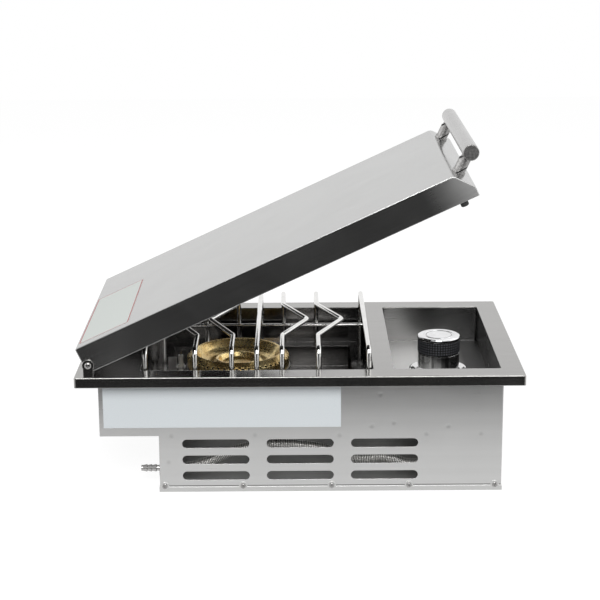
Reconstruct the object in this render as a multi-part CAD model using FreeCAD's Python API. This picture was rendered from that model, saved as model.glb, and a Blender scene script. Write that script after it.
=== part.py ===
import FreeCAD, Part
import math
import os

V = FreeCAD.Vector

# All sizes in millimetres. X is the width, Y runs from the front (knob, handle) at -Y
# to the rear (hinge, gas inlet) at +Y, and Z is up from the underside of the bottom pan.

# trim frame
frame_width = 336.0
frame_length = 530.0
frame_top = 148.0
frame_sheet = 1.2
lip_drop = 12.4
lip_hem = 6.0
frame_corner = 2.5
opening_corner = 3.0

# sheet metal body that hangs in the counter cut-out
body_sheet = 0.8
lip_overhang = 15.0
body_front_inset = 24.6
body_rear_inset = 26.3
rear_step = 70.2
step_height = 70.5
pan_flange = 6.0
slot_length = 80.0
slot_height = 10.8
slot_pitch_y = 100.6
slot_pitch_z = 20.2
slot_middle_y = 0.3
slot_middle_z = 40.3
slot_columns = 3
slot_rows = 3

# burner well
well_side_inset = 13.0
well_length = 277.0
rear_deck = 75.3
ledge_height = 100.0
ledge_width = 20.0
pan_rim = 7.0

# control recess
recess_side_inset = 14.0
middle_deck = 24.2
recess_front_inset = 1.6
recess_floor = 101.0

# burner
burner_behind_middle = 27.0
burner_skirt_r = 64.7
burner_rim_r = 55.6
burner_rim_z = 131.0
burner_seat_z = 112.0
burner_wall = 3.0
crown_drop = 7.2
inner_ring_r = 27.0
inner_ring_z = 121.5
port_count = 52
port_r = 1.5
port_z = 124.6
port_flat_count = 6
base_bottom_z = 76.0
base_foot_r = 38.0
base_flange_lip = 1.3
base_flange_height = 3.0

# mixing tube, valve and gas line
tube_z = 86.0
tube_r = 10.5
tube_wall = 1.2
tube_mouth_gap = 44.2
tube_mouth_r = 13.5
tube_gap = 0.3
valve_before_middle = 1.05
valve_half_width = 13.0
valve_length = 29.0
valve_height = 23.0
bonnet_r = 11.0
bonnet_bore_r = 6.6
bonnet_bore_depth = 14.0
jet_r = 4.0
jet_length = 22.0
inlet_pipe_r = 7.0
elbow_z = 28.0
elbow_arm = 24.0
flex_r = 6.5
flex_root_r = 5.5
flex_bore_r = 4.6
flex_rib_pitch = 6.8
flex_side_inset = 31.0
flex_inlet_z = 18.8
flex_exit_run = 22.0
flex_route = ((0.7331, 50.0), (0.4808, 47.0), (0.3392, 25.0), (0.2222, 31.0), (0.1114, 25.0))
flex_turn_in = 38.0
flex_flat_count = 12
screw_grip = 3.0
nut_across = 19.0
nut_length = 13.0
barb_r = 4.65
barb_root_r = 3.6
barb_bore_r = 2.6
barb_rings = 3
barb_ring_pitch = 5.6
barb_flange_r = 12.2
barb_flange = 2.0

# knob
knob_r = 26.8
knob_top = 149.8
knob_cap_height = 4.6
grip_height = 17.0
skirt_height = 19.2
skirt_r = 26.2
skirt_wall = 2.0
core_r = 22.4
hub_r = 7.5
stem_r = 4.0
fit = 0.05
knurl_count = 40
knurl_depth = 0.7
knurl_rows = 4
bezel_r = 37.4
bezel_bore_r = 29.5
bezel_height = 5.4
push_travel = 3.0
stem_end_room = 2.0

# cooking grate of bent and welded rod
rod_r = 3.0
rail_r = 2.5
grate_z = 171.0
leg_inset = 6.0
knee_x = 72.0
chevron_reach = 31.0
rod_offsets = (30.0, 73.5)
rod_end_inset = 5.5
rail_z = 127.0
weld_sink = 0.7
rod_bend = 9.0
leg_bend = 8.0
bend_step = 24.0

# lid, described closed and then turned to its resting angle
lid_angle = 24.8
lid_side_inset = 2.6
lid_sheet = 1.2
lid_depth = 33.0
lid_front_inset = 17.5
lid_bevel_run = 18.5
lid_bevel_drop = 22.0
lid_rear_bend = 2.4
lid_top_bend = 9.0
lid_nose_bend = 6.0
lid_flange = 10.0
lid_flange_start = 12.0
hinge_inset = 17.5
hinge_z = 163.0
hinge_from_rear = 5.5
hinge_from_top = 24.0
pivot_r = 2.0
pivot_head_r = 4.9
pivot_nut_across = 7.0
pivot_head = 2.2
bracket_sheet = 2.0
bracket_width = 12.0
side_gap = 0.3
bumper_r = 4.8
bumper_height = 5.8
bumper_from_front = 19.5
bumper_inset = 6.5

# handle
handle_tube_r = 9.5
handle_tube_wall = 1.5
handle_end_inset = 26.4
handle_ahead = 11.3
handle_above = 10.7
post_r = 7.0
post_inset = 45.4
post_screw_r = 2.5
post_screw_grip = 9.0
post_screw_head = 3.0
post_foot_r = 8.0
post_foot_height = 3.0
neck_r = 5.8
neck_length = 1.8

# printed sheets, left blank
label_sheet = 0.25
side_label_inset = 5.2
side_label_length = 281.8
side_label_bottom = 81.0
side_label_top = 133.0
lid_label_x0 = -150.0
lid_label_x1 = 52.0
lid_label_from_rear = 3.5
lid_label_depth = 65.0

# small fasteners
screw_r = 1.8
screw_flat_count = 12
screw_head_r = 3.2
screw_head = 1.8
pan_screw_z = 7.0
pan_ear_r = 5.0
pan_screw_inset = 5.8
pan_screw_shares = (0.2294, 0.2597, 0.2265, 0.2512)
pan_screw_end_inset = 33.0
pan_screw_inner_x = 80.0

# igniter
ceramic_r = 3.2
ceramic_height = 30.0
electrode_r = 1.0
igniter_gap = 7.0
electrode_tip_z = 131.0

# derived places
body_half_width = frame_width / 2 - lip_overhang
well_half_width = body_half_width - well_side_inset
recess_half_width = body_half_width - recess_side_inset
lid_half_width = frame_width / 2 - lid_side_inset
body_front = body_front_inset - frame_length / 2
body_rear = frame_length / 2 - body_rear_inset
lower_rear = body_rear - rear_step
well_rear = frame_length / 2 - rear_deck
well_front = well_rear - well_length
recess_rear = well_front - middle_deck
recess_front = body_front + recess_front_inset
grate_middle_y = (well_front + well_rear) / 2
rod_outer = well_length / 2 - rod_end_inset
leg_x = well_half_width - leg_inset
burner_y = grate_middle_y + burner_behind_middle
valve_y = (recess_front + recess_rear) / 2 - valve_before_middle
tube_mouth_y = valve_y + tube_mouth_gap
base_flange_r = burner_skirt_r + base_flange_lip
flex_x = flex_side_inset - body_half_width
pan_screw_end_x = body_half_width - pan_screw_end_inset
side_label_rear = body_rear - side_label_inset
side_label_front = side_label_rear - side_label_length
hinge_y = frame_length / 2 - hinge_inset
handle_half_length = lid_half_width - handle_end_inset
post_x = lid_half_width - post_inset
frame_under = frame_top - frame_sheet
body_inside = body_half_width - body_sheet
middle_floor_top = step_height + body_sheet
well_floor = middle_floor_top + body_sheet
sunken_half_width = well_half_width - ledge_width
sunken_front = well_front + ledge_width
sunken_rear = well_rear - ledge_width
divider_y = (well_front + recess_rear) / 2
recess_under = recess_floor - body_sheet
valve_top = recess_under
knob_bottom = knob_top - knob_cap_height - grip_height - skirt_height
grip_bottom = knob_bottom + skirt_height
grip_top = grip_bottom + grip_height
stem_bottom = valve_top - bonnet_bore_depth + push_travel + stem_end_room
stem_top = grip_top - 4.0
washer_height = 1.5
lid_top = hinge_z + hinge_from_top
lid_rear = hinge_y + hinge_from_rear
lid_front = lid_front_inset - frame_length / 2
lid_length = lid_rear - lid_front


def block(x0, x1, y0, y1, z0, z1):
    return Part.makeBox(x1 - x0, y1 - y0, z1 - z0, V(x0, y0, z0))


def rod(start, end, radius):
    run = end - start
    return Part.makeCylinder(radius, run.Length, start, run)


def tube(start, end, radius, bore):
    run = end - start
    unit = V(run).normalize()
    hollow = rod(start - unit, end + unit, bore)
    return rod(start, end, radius).cut(hollow)


def turned(profile, centre_x, centre_y):
    points = [V(r, 0, z) for r, z in profile]
    face = Part.Face(Part.makePolygon(points + points[:1]))
    solid = face.revolve(V(0, 0, 0), V(0, 0, 1), 360)
    solid.translate(V(centre_x, centre_y, 0))
    return solid


def turned_on(profile, seat, outward):
    solid = turned(profile, 0, 0)
    solid.Placement = FreeCAD.Placement(seat, FreeCAD.Rotation(V(0, 0, 1), outward))
    return solid


def pierced(solid, cutters):
    return solid.cut(Part.makeCompound(cutters))


def joined(first, others):
    return first.fuse(others).removeSplitter()


def rounded_block(x0, x1, y0, y1, z0, z1, radius):
    solid = block(x0, x1, y0, y1, z0, z1)
    upright = [e for e in solid.Edges if abs(e.tangentAt(e.FirstParameter).z) > 0.9]
    return solid.makeFillet(radius, upright)


def hexagon(start, end, across):
    return flatted(start, end, across / 2, 6)


def flatted(start, end, radius, flats):
    # small repeated shanks and holes are cut with flats; radius is to the middle of a flat
    run = end - start
    corner = radius / math.cos(math.pi / flats)
    points = [
        V(corner * math.cos(2 * math.pi * (i + 0.5) / flats),
          corner * math.sin(2 * math.pi * (i + 0.5) / flats), 0)
        for i in range(flats)
    ]
    face = Part.Face(Part.makePolygon(points + points[:1]))
    solid = face.extrude(V(0, 0, run.Length))
    solid.Placement = FreeCAD.Placement(start, FreeCAD.Rotation(V(0, 0, 1), run))
    return solid


def closed_path(points):
    return Part.Face(Part.makePolygon(list(points) + [points[0]]))


def rounded_route(points, radii):
    edges = []
    here = points[0]
    for i in range(1, len(points) - 1):
        back = (points[i - 1] - points[i]).normalize()
        ahead = (points[i + 1] - points[i]).normalize()
        half_turn = (math.pi - back.getAngle(ahead)) / 2
        reach = radii[i - 1] * math.tan(half_turn)
        begin = points[i] + back * reach
        finish = points[i] + ahead * reach
        to_centre = (back + ahead).normalize()
        sag = radii[i - 1] / math.cos(half_turn) - radii[i - 1]
        edges.append(Part.LineSegment(here, begin).toShape())
        edges.append(Part.Arc(begin, points[i] + to_centre * sag, finish).toShape())
        here = finish
    edges.append(Part.LineSegment(here, points[-1]).toShape())
    return Part.Wire(edges)


def hoop(place, along, radius, steady):
    side = (steady - along * steady.dot(along)).normalize()
    turn = FreeCAD.Rotation(side, along.cross(side), along, "ZXY")
    circle = Part.makeCircle(radius)
    circle.Placement = FreeCAD.Placement(place, turn)
    return Part.Wire([circle])


def flat_hoop(place, along, radius, steady, flats):
    side = (steady - along * steady.dot(along)).normalize()
    other = along.cross(side)
    corners = []
    for i in range(flats):
        angle = 2 * math.pi * i / flats
        corners.append(place + side * (radius * math.cos(angle)) + other * (radius * math.sin(angle)))
    return Part.makePolygon(corners + [corners[0]])


def bent_rod(points, radii, radius, steady):
    # round rod through straight runs and stepped bends
    hoops = []
    for edge in rounded_route(points, radii).OrderedEdges:
        first = edge.FirstParameter
        last = edge.LastParameter
        turn = edge.tangentAt(first).getAngle(edge.tangentAt(last))
        steps = max(1, math.ceil(turn / math.radians(bend_step)))
        for i in range(0 if not hoops else 1, steps + 1):
            spot = first + (last - first) * i / steps
            hoops.append(hoop(edge.valueAt(spot), edge.tangentAt(spot), radius, steady))
    return Part.makeLoft(hoops, True, True)


# trim frame and sheet metal body


def top_frame():
    half_w = frame_width / 2
    half_l = frame_length / 2
    lip_bottom = frame_top - lip_drop
    shell = rounded_block(-half_w, half_w, -half_l, half_l, lip_bottom, frame_top, frame_corner)
    rim = [e for e in shell.Edges if abs(e.CenterOfMass.z - frame_top) < 0.01]
    shell = shell.makeFillet(frame_sheet * 0.9, rim)
    inside = frame_sheet
    fold = frame_sheet + lip_hem
    cutters = [
        block(-half_w + inside, half_w - inside, -half_l + inside, half_l - inside,
              lip_bottom + frame_sheet, frame_under),
        block(-half_w + fold, half_w - fold, -half_l + fold, half_l - fold,
              lip_bottom - 1, frame_under),
        rounded_block(-well_half_width, well_half_width, well_front, well_rear,
                      frame_under - 1, frame_top + 1, opening_corner),
        rounded_block(-recess_half_width, recess_half_width, recess_front, recess_rear,
                      frame_under - 1, frame_top + 1, opening_corner),
    ]
    return pierced(shell, cutters)


def burner_well():
    t = body_sheet
    rim = t + pan_rim
    upper = rounded_block(-well_half_width - t, well_half_width + t, well_front - t, well_rear + t,
                          ledge_height - t, frame_under, opening_corner + t)
    lower = rounded_block(-sunken_half_width - t, sunken_half_width + t, sunken_front - t,
                          sunken_rear + t, middle_floor_top, ledge_height, opening_corner + t)
    flange = block(-well_half_width - rim, well_half_width + rim, well_front - rim,
                   well_rear + rim, frame_under - t, frame_under)
    solid = joined(upper, [lower, flange])
    room = rounded_block(-well_half_width, well_half_width, well_front, well_rear,
                         ledge_height, frame_top, opening_corner)
    sunken = rounded_block(-sunken_half_width, sunken_half_width, sunken_front, sunken_rear,
                           well_floor, frame_top, opening_corner)
    passage = rod(V(0, sunken_front - ledge_width, tube_z), V(0, sunken_front + 5, tube_z),
                  tube_r + tube_gap)
    return pierced(solid, [room, sunken, passage])


def control_recess():
    t = body_sheet
    rim = t + pan_rim
    solid = rounded_block(-recess_half_width - t, recess_half_width + t, recess_front - t,
                          recess_rear + t, recess_under, frame_under, opening_corner + t)
    flange = block(-recess_half_width - rim, recess_half_width + rim, recess_front - t,
                   recess_rear + rim, frame_under - t, frame_under)
    room = rounded_block(-recess_half_width, recess_half_width, recess_front, recess_rear,
                         recess_floor, frame_top, opening_corner)
    holes = [rod(V(0, valve_y, recess_under - 1), V(0, valve_y, recess_floor + 1),
                 stem_r + 1.0)]
    for x in valve_screw_places():
        holes.append(rod(V(x, valve_y, recess_under - 1), V(x, valve_y, recess_floor + 1),
                         screw_r + fit))
    return pierced(joined(solid, [flange]), [room] + holes)


def pan_screw_ys():
    places = [lower_rear - pan_screw_inset]
    for share in pan_screw_shares:
        places.append(places[-1] - share * (lower_rear - body_front))
    return places


def side_panel(side):
    # the outline steps up behind the lower compartment
    outline = [
        V(0, body_front + body_sheet, body_sheet), V(0, lower_rear - body_sheet, body_sheet),
        V(0, lower_rear - body_sheet, step_height), V(0, body_rear, step_height),
        V(0, body_rear, frame_under), V(0, body_front + body_sheet, frame_under),
    ]
    panel = closed_path(outline).extrude(V(body_sheet, 0, 0))
    panel.translate(V(body_inside if side > 0 else -body_half_width, 0, 0))
    cutters = []
    reach = body_half_width + 1
    x0 = min(side * reach, side * (body_inside - 1))
    for column in range(slot_columns):
        for row in range(slot_rows):
            y = slot_middle_y + (column - (slot_columns - 1) / 2) * slot_pitch_y
            z = slot_middle_z + (row - (slot_rows - 1) / 2) * slot_pitch_z
            cutters.append(slot_cutter(x0, y, z))
    for y in pan_screw_ys():
        cutters.append(flatted(V(x0, y, pan_screw_z), V(x0 + body_sheet + 2, y, pan_screw_z),
                               screw_r + fit, screw_flat_count))
    return pierced(panel, cutters)


def slot_cutter(x, y, z):
    half = slot_length / 2 - slot_height / 2
    r = slot_height / 2
    edges = [
        Part.LineSegment(V(x, y - half, z + r), V(x, y + half, z + r)).toShape(),
        Part.Arc(V(x, y + half, z + r), V(x, y + half + r, z), V(x, y + half, z - r)).toShape(),
        Part.LineSegment(V(x, y + half, z - r), V(x, y - half, z - r)).toShape(),
        Part.Arc(V(x, y - half, z - r), V(x, y - half - r, z), V(x, y - half, z + r)).toShape(),
    ]
    return Part.Face(Part.Wire(edges)).extrude(V(body_sheet + 2, 0, 0))


def front_panel():
    panel = block(-body_half_width, body_half_width, body_front, body_front + body_sheet,
                  body_sheet, frame_under)
    holes = [screw_hole(x, y) for x, y in end_screw_places() if y < 0]
    return pierced(panel, holes)


def rear_upper_panel():
    return block(-body_inside, body_inside, body_rear - body_sheet, body_rear,
                 middle_floor_top, frame_under)


def rear_lower_panel():
    panel = block(-body_half_width, body_half_width, lower_rear - body_sheet, lower_rear,
                  body_sheet, step_height)
    holes = [screw_hole(x, y) for x, y in end_screw_places() if y > 0]
    holes.append(rod(V(flex_x, lower_rear - 2, flex_inlet_z), V(flex_x, lower_rear + 1, flex_inlet_z),
                     flex_r))
    return pierced(panel, holes)


def middle_floor():
    # plate that closes the lower compartment and forms the underside of the rear step
    plate = block(-body_inside, body_inside, body_front + body_sheet, body_rear,
                  step_height, middle_floor_top)
    passage = rod(V(0, valve_y, step_height - 1), V(0, valve_y, middle_floor_top + 1),
                  inlet_pipe_r + tube_gap)
    return plate.cut(passage)


def divider_panel():
    half = body_sheet / 2
    panel = block(-body_inside, body_inside, divider_y - half, divider_y + half,
                  middle_floor_top, frame_under)
    passage = rod(V(0, divider_y - 2, tube_z), V(0, divider_y + 2, tube_z), tube_r + tube_gap)
    return panel.cut(passage)


def bottom_pan():
    t = body_sheet
    x = body_half_width
    solid = block(-x - t, x + t, body_front - t, lower_rear + t, 0, pan_flange)
    ears = []
    for y in pan_screw_ys():
        ears.append(flatted(V(-x - t, y, pan_screw_z), V(-x, y, pan_screw_z), pan_ear_r,
                            screw_flat_count))
        ears.append(flatted(V(x, y, pan_screw_z), V(x + t, y, pan_screw_z), pan_ear_r,
                            screw_flat_count))
    for x_end, y in end_screw_places():
        outer = y - t if y < 0 else y + t
        ears.append(flatted(V(x_end, outer, pan_screw_z), V(x_end, y, pan_screw_z), pan_ear_r,
                            screw_flat_count))
    solid = solid.fuse(ears)
    room = block(-x, x, body_front, lower_rear, t, pan_flange + pan_ear_r * 3)
    holes = []
    for y in pan_screw_ys():
        holes.append(flatted(V(-x - 2, y, pan_screw_z), V(x + 2, y, pan_screw_z), screw_r + fit,
                             screw_flat_count))
    for x_end, y in end_screw_places():
        holes.append(screw_hole(x_end, y))
    return pierced(solid, [room] + holes).removeSplitter()


def end_screw_places():
    return [
        (-pan_screw_end_x, body_front), (pan_screw_end_x, body_front),
        (-pan_screw_inner_x, lower_rear), (pan_screw_end_x, lower_rear),
    ]


def screw_hole(x, y):
    return flatted(V(x, y - 2, pan_screw_z), V(x, y + 2, pan_screw_z), screw_r + fit, screw_flat_count)


def pan_head_screw(seat, outward, grip):
    shank = flatted(seat - outward * grip, seat + outward * (screw_head / 2), screw_r - fit,
                    screw_flat_count)
    head = flatted(seat, seat + outward * screw_head, screw_head_r, screw_flat_count)
    return joined(shank, [head])


def pan_screws():
    t = body_sheet
    screws = []
    grip = t * 2 + screw_grip
    for y in pan_screw_ys():
        screws.append(pan_head_screw(V(-body_half_width - t, y, pan_screw_z), V(-1, 0, 0), grip))
        screws.append(pan_head_screw(V(body_half_width + t, y, pan_screw_z), V(1, 0, 0), grip))
    for x, y in end_screw_places():
        outward = V(0, -1, 0) if y < 0 else V(0, 1, 0)
        screws.append(pan_head_screw(V(x, y, pan_screw_z) + outward * t, outward, grip))
    return Part.makeCompound(screws)


# burner, mixing tube and igniter


def burner_head():
    wall = burner_wall
    skirt = burner_skirt_r
    rim = burner_rim_r
    top = burner_rim_z
    seat = burner_seat_z
    ring = inner_ring_r
    ring_top = inner_ring_z
    dip_z = seat + 4.5
    dip_r = ring + 8
    middle = seat + 2.5
    under = top - wall
    crown = top - crown_drop
    profile = [
        (skirt - wall, seat), (skirt, seat), (skirt, crown), (skirt - 0.8, crown + 1.2),
        (rim, top), (rim - 2.4, top - 0.8), (rim - 9.0, top - 11.0), (dip_r, dip_z),
        (ring + 0.8, ring_top), (ring - 2.0, ring_top), (ring - 5.0, middle), (0, middle),
        (0, seat), (ring, seat), (dip_r, dip_z - wall), (rim - 7.0, top - 14.0),
        (rim - 1.0, under - 1.2), (skirt - wall, crown - 2.4),
    ]
    head = turned(profile, 0, 0)
    ports = []
    for i in range(port_count):
        angle = 2 * math.pi * i / port_count
        outward = V(math.cos(angle), math.sin(angle), 0)
        centre = outward * (rim - 1.2) + V(0, 0, port_z)
        ports.append(flatted(centre, centre + outward * (skirt - rim + 2), port_r, port_flat_count))
    head = pierced(head, ports)
    head.translate(V(0, burner_y, 0))
    return head


def burner_base():
    flange_under = burner_seat_z - base_flange_height
    inner = burner_skirt_r - burner_wall - 1.0
    profile = [
        (0, base_bottom_z), (base_foot_r, base_bottom_z),
        (base_foot_r + 6, base_bottom_z + 8), (base_flange_r - 4, flange_under),
        (base_flange_r, flange_under), (base_flange_r, burner_seat_z),
        (inner, burner_seat_z), (inner - 1, flange_under), (base_foot_r + 3, base_bottom_z + 10),
        (base_foot_r - 3, base_bottom_z + burner_wall), (0, base_bottom_z + burner_wall),
    ]
    bowl = turned(profile, 0, burner_y)
    socket_front = burner_y - base_flange_r + 4
    socket = rod(V(0, socket_front, tube_z), V(0, burner_y - base_foot_r + 4, tube_z),
                 tube_r + burner_wall)
    below = block(-base_foot_r, base_foot_r, socket_front - 1, burner_y,
                  base_bottom_z - tube_r, base_bottom_z)
    solid = bowl.fuse(socket.cut(below))
    bore = rod(V(0, socket_front - 1, tube_z), V(0, burner_y - base_foot_r + 8, tube_z),
               tube_r + fit)
    return solid.cut(bore).removeSplitter()


def mixing_tube():
    inner_end = burner_y - base_foot_r + 2
    flare_y = tube_mouth_y + 12
    wall = tube_wall
    profile = [
        V(tube_mouth_r, tube_mouth_y, 0), V(tube_r, flare_y, 0), V(tube_r, inner_end, 0),
        V(tube_r - wall, inner_end, 0), V(tube_r - wall, flare_y, 0),
        V(tube_mouth_r - wall, tube_mouth_y, 0),
    ]
    solid = closed_path(profile).revolve(V(0, 0, 0), V(0, 1, 0), 360)
    solid.translate(V(0, 0, tube_z))
    return solid


def burner_bracket():
    # low bridge strip between the pan floor and the burner casting
    half = 12.0
    strip = 1.5
    near = burner_y - base_foot_r + 6
    far = burner_y + base_foot_r - 6
    foot = 14.0
    rise = base_bottom_z - well_floor
    top = block(-half, half, near, far, base_bottom_z - strip, base_bottom_z)
    legs = [
        block(-half, half, near, near + strip, well_floor, base_bottom_z),
        block(-half, half, far - strip, far, well_floor, base_bottom_z),
        block(-half, half, near, near + foot, well_floor, well_floor + min(strip, rise)),
        block(-half, half, far - foot, far, well_floor, well_floor + min(strip, rise)),
    ]
    return joined(top, legs)


def igniter_y():
    return burner_y + base_flange_r + igniter_gap


def igniter_bracket():
    strip = 1.2
    y = igniter_y()
    collar_z = electrode_tip_z - ceramic_height * 0.75
    near = y + ceramic_r + 1.6
    upright = block(-strip / 2, strip / 2, near, y + 16, well_floor, electrode_tip_z - 9)
    foot = block(-9, strip / 2, near, y + 16, well_floor, well_floor + strip)
    tab = block(-ceramic_r - 2.5, ceramic_r + 2.5, y - ceramic_r - 2.5, y + ceramic_r + 3,
                collar_z, collar_z + strip)
    hole = rod(V(0, y, collar_z - 1), V(0, y, collar_z + strip + 1), ceramic_r + fit)
    return joined(upright, [foot, tab]).cut(hole)


def igniter_ceramic():
    y = igniter_y()
    top = electrode_tip_z - 6
    body = rod(V(0, y, top - ceramic_height), V(0, y, top), ceramic_r)
    collar_z = electrode_tip_z - ceramic_height * 0.75 + 1.2
    shoulder = rod(V(0, y, collar_z), V(0, y, collar_z + 3), ceramic_r + 1.2)
    bore = rod(V(0, y, top - 12), V(0, y, top + 1), electrode_r + fit)
    return joined(body, [shoulder]).cut(bore)


def igniter_electrode():
    y = igniter_y()
    points = [V(0, y, electrode_tip_z - 16), V(0, y, electrode_tip_z),
              V(0, y - igniter_gap + 1.5, electrode_tip_z + 1.5)]
    return bent_rod(points, [2.5], electrode_r, V(1, 0, 0))


# valve and gas line


def valve_screw_places():
    return (-18.0, 18.0)


def gas_valve():
    half = valve_half_width
    y = valve_y
    body_z = valve_top - valve_height
    body = rounded_block(-half, half, y - valve_length / 2, y + valve_length / 2,
                         body_z, valve_top - 2, 3.0)
    ears = [rounded_block(-half - 10, half + 10, y - 6, y + 6, valve_top - 3, valve_top, 5.0)]
    bonnet = rod(V(0, y, valve_top - 6), V(0, y, valve_top), bonnet_r)
    nozzle_end = y + valve_length / 2 + 8
    nozzle = rod(V(0, y, tube_z), V(0, nozzle_end, tube_z), jet_r + 3)
    inlet = rod(V(0, y, elbow_z + 20), V(0, y, body_z + 4), inlet_pipe_r)
    solid = joined(body, ears + [bonnet, nozzle, inlet])
    cutters = [
        rod(V(0, y, valve_top - bonnet_bore_depth), V(0, y, valve_top + 1), bonnet_bore_r),
        rod(V(0, nozzle_end - 9, tube_z), V(0, nozzle_end + 1, tube_z), jet_r + fit),
        rod(V(0, y, elbow_z + 19), V(0, y, body_z), inlet_pipe_r - 2.5),
    ]
    for x in valve_screw_places():
        cutters.append(rod(V(x, y, valve_top - 8), V(x, y, valve_top + 1), screw_r + fit))
    return pierced(solid, cutters)


def valve_screws():
    screws = [pan_head_screw(V(x, valve_y, recess_floor), V(0, 0, 1), 6.0)
              for x in valve_screw_places()]
    return Part.makeCompound(screws)


def gas_jet():
    start = valve_y + valve_length / 2
    hexed = hexagon(V(0, start + 8, tube_z), V(0, start + 13, tube_z), jet_r * 2.6)
    shank = rod(V(0, start, tube_z), V(0, start + 9, tube_z), jet_r)
    nose = Part.makeCone(jet_r, jet_r * 0.5, jet_length - 15, V(0, start + 13, tube_z), V(0, 1, 0))
    bore = rod(V(0, start - 1, tube_z), V(0, start + jet_length, tube_z), 0.9)
    return joined(shank, [hexed, nose]).cut(bore)


def inlet_elbow():
    # threaded on the valve's inlet pipe and turned towards the gas line
    y = valve_y
    socket_r = inlet_pipe_r + 2.5
    arm_end = V(-elbow_arm, y, elbow_z)
    upright = rod(V(0, y, elbow_z), V(0, y, elbow_z + 28), socket_r)
    corner = rounded_block(-socket_r, socket_r, y - socket_r, y + socket_r,
                           elbow_z - socket_r, elbow_z + socket_r, 4.0)
    arm = rod(V(0, y, elbow_z), arm_end, socket_r - 1)
    collar = hexagon(arm_end, arm_end + V(6, 0, 0), nut_across)
    solid = joined(upright, [corner, arm, collar])
    cutters = [
        rod(V(0, y, elbow_z + 20), V(0, y, elbow_z + 29), inlet_pipe_r + fit),
        rod(V(0, y, elbow_z), V(0, y, elbow_z + 21), flex_bore_r),
        rod(V(0, y, elbow_z), arm_end - V(1, 0, 0), flex_bore_r),
    ]
    return pierced(solid, cutters)


def flex_start():
    return V(flex_x, lower_rear - body_sheet - 6 - nut_length, flex_inlet_z)


def flex_end():
    return V(-elbow_arm - nut_length, valve_y, elbow_z)


def flex_points():
    # the line climbs to mid height, sags, and turns in to the valve
    first = flex_start()
    last = flex_end()
    points = [first, first - V(0, flex_exit_run, 0)]
    for share, height in flex_route:
        points.append(V(flex_x, valve_y + share * (first.y - valve_y), height))
    return points + [V(flex_x + flex_turn_in, valve_y, elbow_z), last]


def flex_radii(points):
    radii = []
    for i in range(1, len(points) - 1):
        back = points[i - 1] - points[i]
        ahead = points[i + 1] - points[i]
        half_turn = (math.pi - back.getAngle(ahead)) / 2
        radii.append(0.45 * min(back.Length, ahead.Length) / math.tan(half_turn))
    return radii


def station(edges, lengths, travelled):
    i = 0
    while i < len(edges) - 1 and travelled > lengths[i]:
        travelled -= lengths[i]
        i += 1
    spot = edges[i].getParameterByLength(min(travelled, lengths[i]))
    return edges[i].valueAt(spot), edges[i].tangentAt(spot)


def flex_line():
    points = flex_points()
    radii = flex_radii(points)
    route = rounded_route(points, radii)
    edges = route.OrderedEdges
    lengths = [e.Length for e in edges]
    total = sum(lengths)
    cuff = 2 * flex_r
    ribs = int((total - 2 * cuff) / flex_rib_pitch)
    pitch = (total - 2 * cuff) / ribs
    stations = [(0.0, flex_root_r)]
    for i in range(ribs):
        start = cuff + i * pitch
        stations += [
            (start, flex_root_r), (start + pitch * 0.2, flex_r),
            (start + pitch * 0.55, flex_r), (start + pitch * 0.75, flex_root_r),
        ]
    stations.append((total, flex_root_r))
    hoops = []
    for travelled, radius in stations:
        place, along = station(edges, lengths, travelled)
        hoops.append(flat_hoop(place, along, radius, V(0, 0, 1), flex_flat_count))
    outer = Part.makeLoft(hoops, True, True)
    rings = []
    steps = 24
    for i in range(steps + 1):
        place, along = station(edges, lengths, total * i / steps)
        if i in (0, steps):
            place = place + along * (i * 2 / steps - 1)
        rings.append(flat_hoop(place, along, flex_bore_r, V(0, 0, 1), flex_flat_count))
    bore = Part.makeLoft(rings, True, True)
    print("flex line length", round(total, 1), "ribs", ribs, "radii", [round(r) for r in radii])
    section = flex_flat_count / 2 * flex_bore_r ** 2 * math.sin(2 * math.pi / flex_flat_count)
    print("flex bore volume over section times length",
          round(bore.Volume / (section * (total + 2)), 4))
    return outer.cut(bore)


def flare_nut(start, direction):
    # hexagon with a turned shoulder where the line enters
    body = hexagon(start, start + direction * (nut_length - 3), nut_across)
    shoulder = rod(start, start + direction * nut_length, flex_r + 1.6)
    bore = rod(start - direction, start + direction * (nut_length + 1), flex_root_r + fit)
    return joined(body, [shoulder]).cut(bore)


def valve_flare_nut():
    return flare_nut(V(-elbow_arm, valve_y, elbow_z), V(-1, 0, 0))


def inlet_flare_nut():
    start = V(flex_x, lower_rear - body_sheet - 6, flex_inlet_z)
    return flare_nut(start, V(0, -1, 0))


def inlet_barb():
    # bulkhead fitting: hexagon inside, round flange and hose barb outside
    wall = lower_rear
    inner = wall - body_sheet
    centre = V(flex_x, 0, flex_inlet_z)
    inside = hexagon(centre + V(0, inner - 6, 0), centre + V(0, inner, 0), nut_across)
    profile = [(barb_bore_r, inner - 5), (flex_r - fit, inner - 5), (flex_r - fit, wall),
               (barb_flange_r, wall), (barb_flange_r, wall + barb_flange),
               (barb_root_r, wall + barb_flange)]
    y = wall + barb_flange + 4
    for i in range(barb_rings):
        profile += [(barb_root_r, y), (barb_r, y + 0.6)]
        y += barb_ring_pitch
    profile += [(barb_root_r, y), (barb_root_r, y + 2), (barb_bore_r, y + 2)]
    stem = closed_path([V(r, y, 0) for r, y in profile]).revolve(V(0, 0, 0), V(0, 1, 0), 360)
    stem.translate(centre)
    bore = rod(centre + V(0, inner - 8, 0), centre + V(0, inner + 1, 0), barb_bore_r)
    return joined(inside, [stem]).cut(bore)


# control knob


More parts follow.
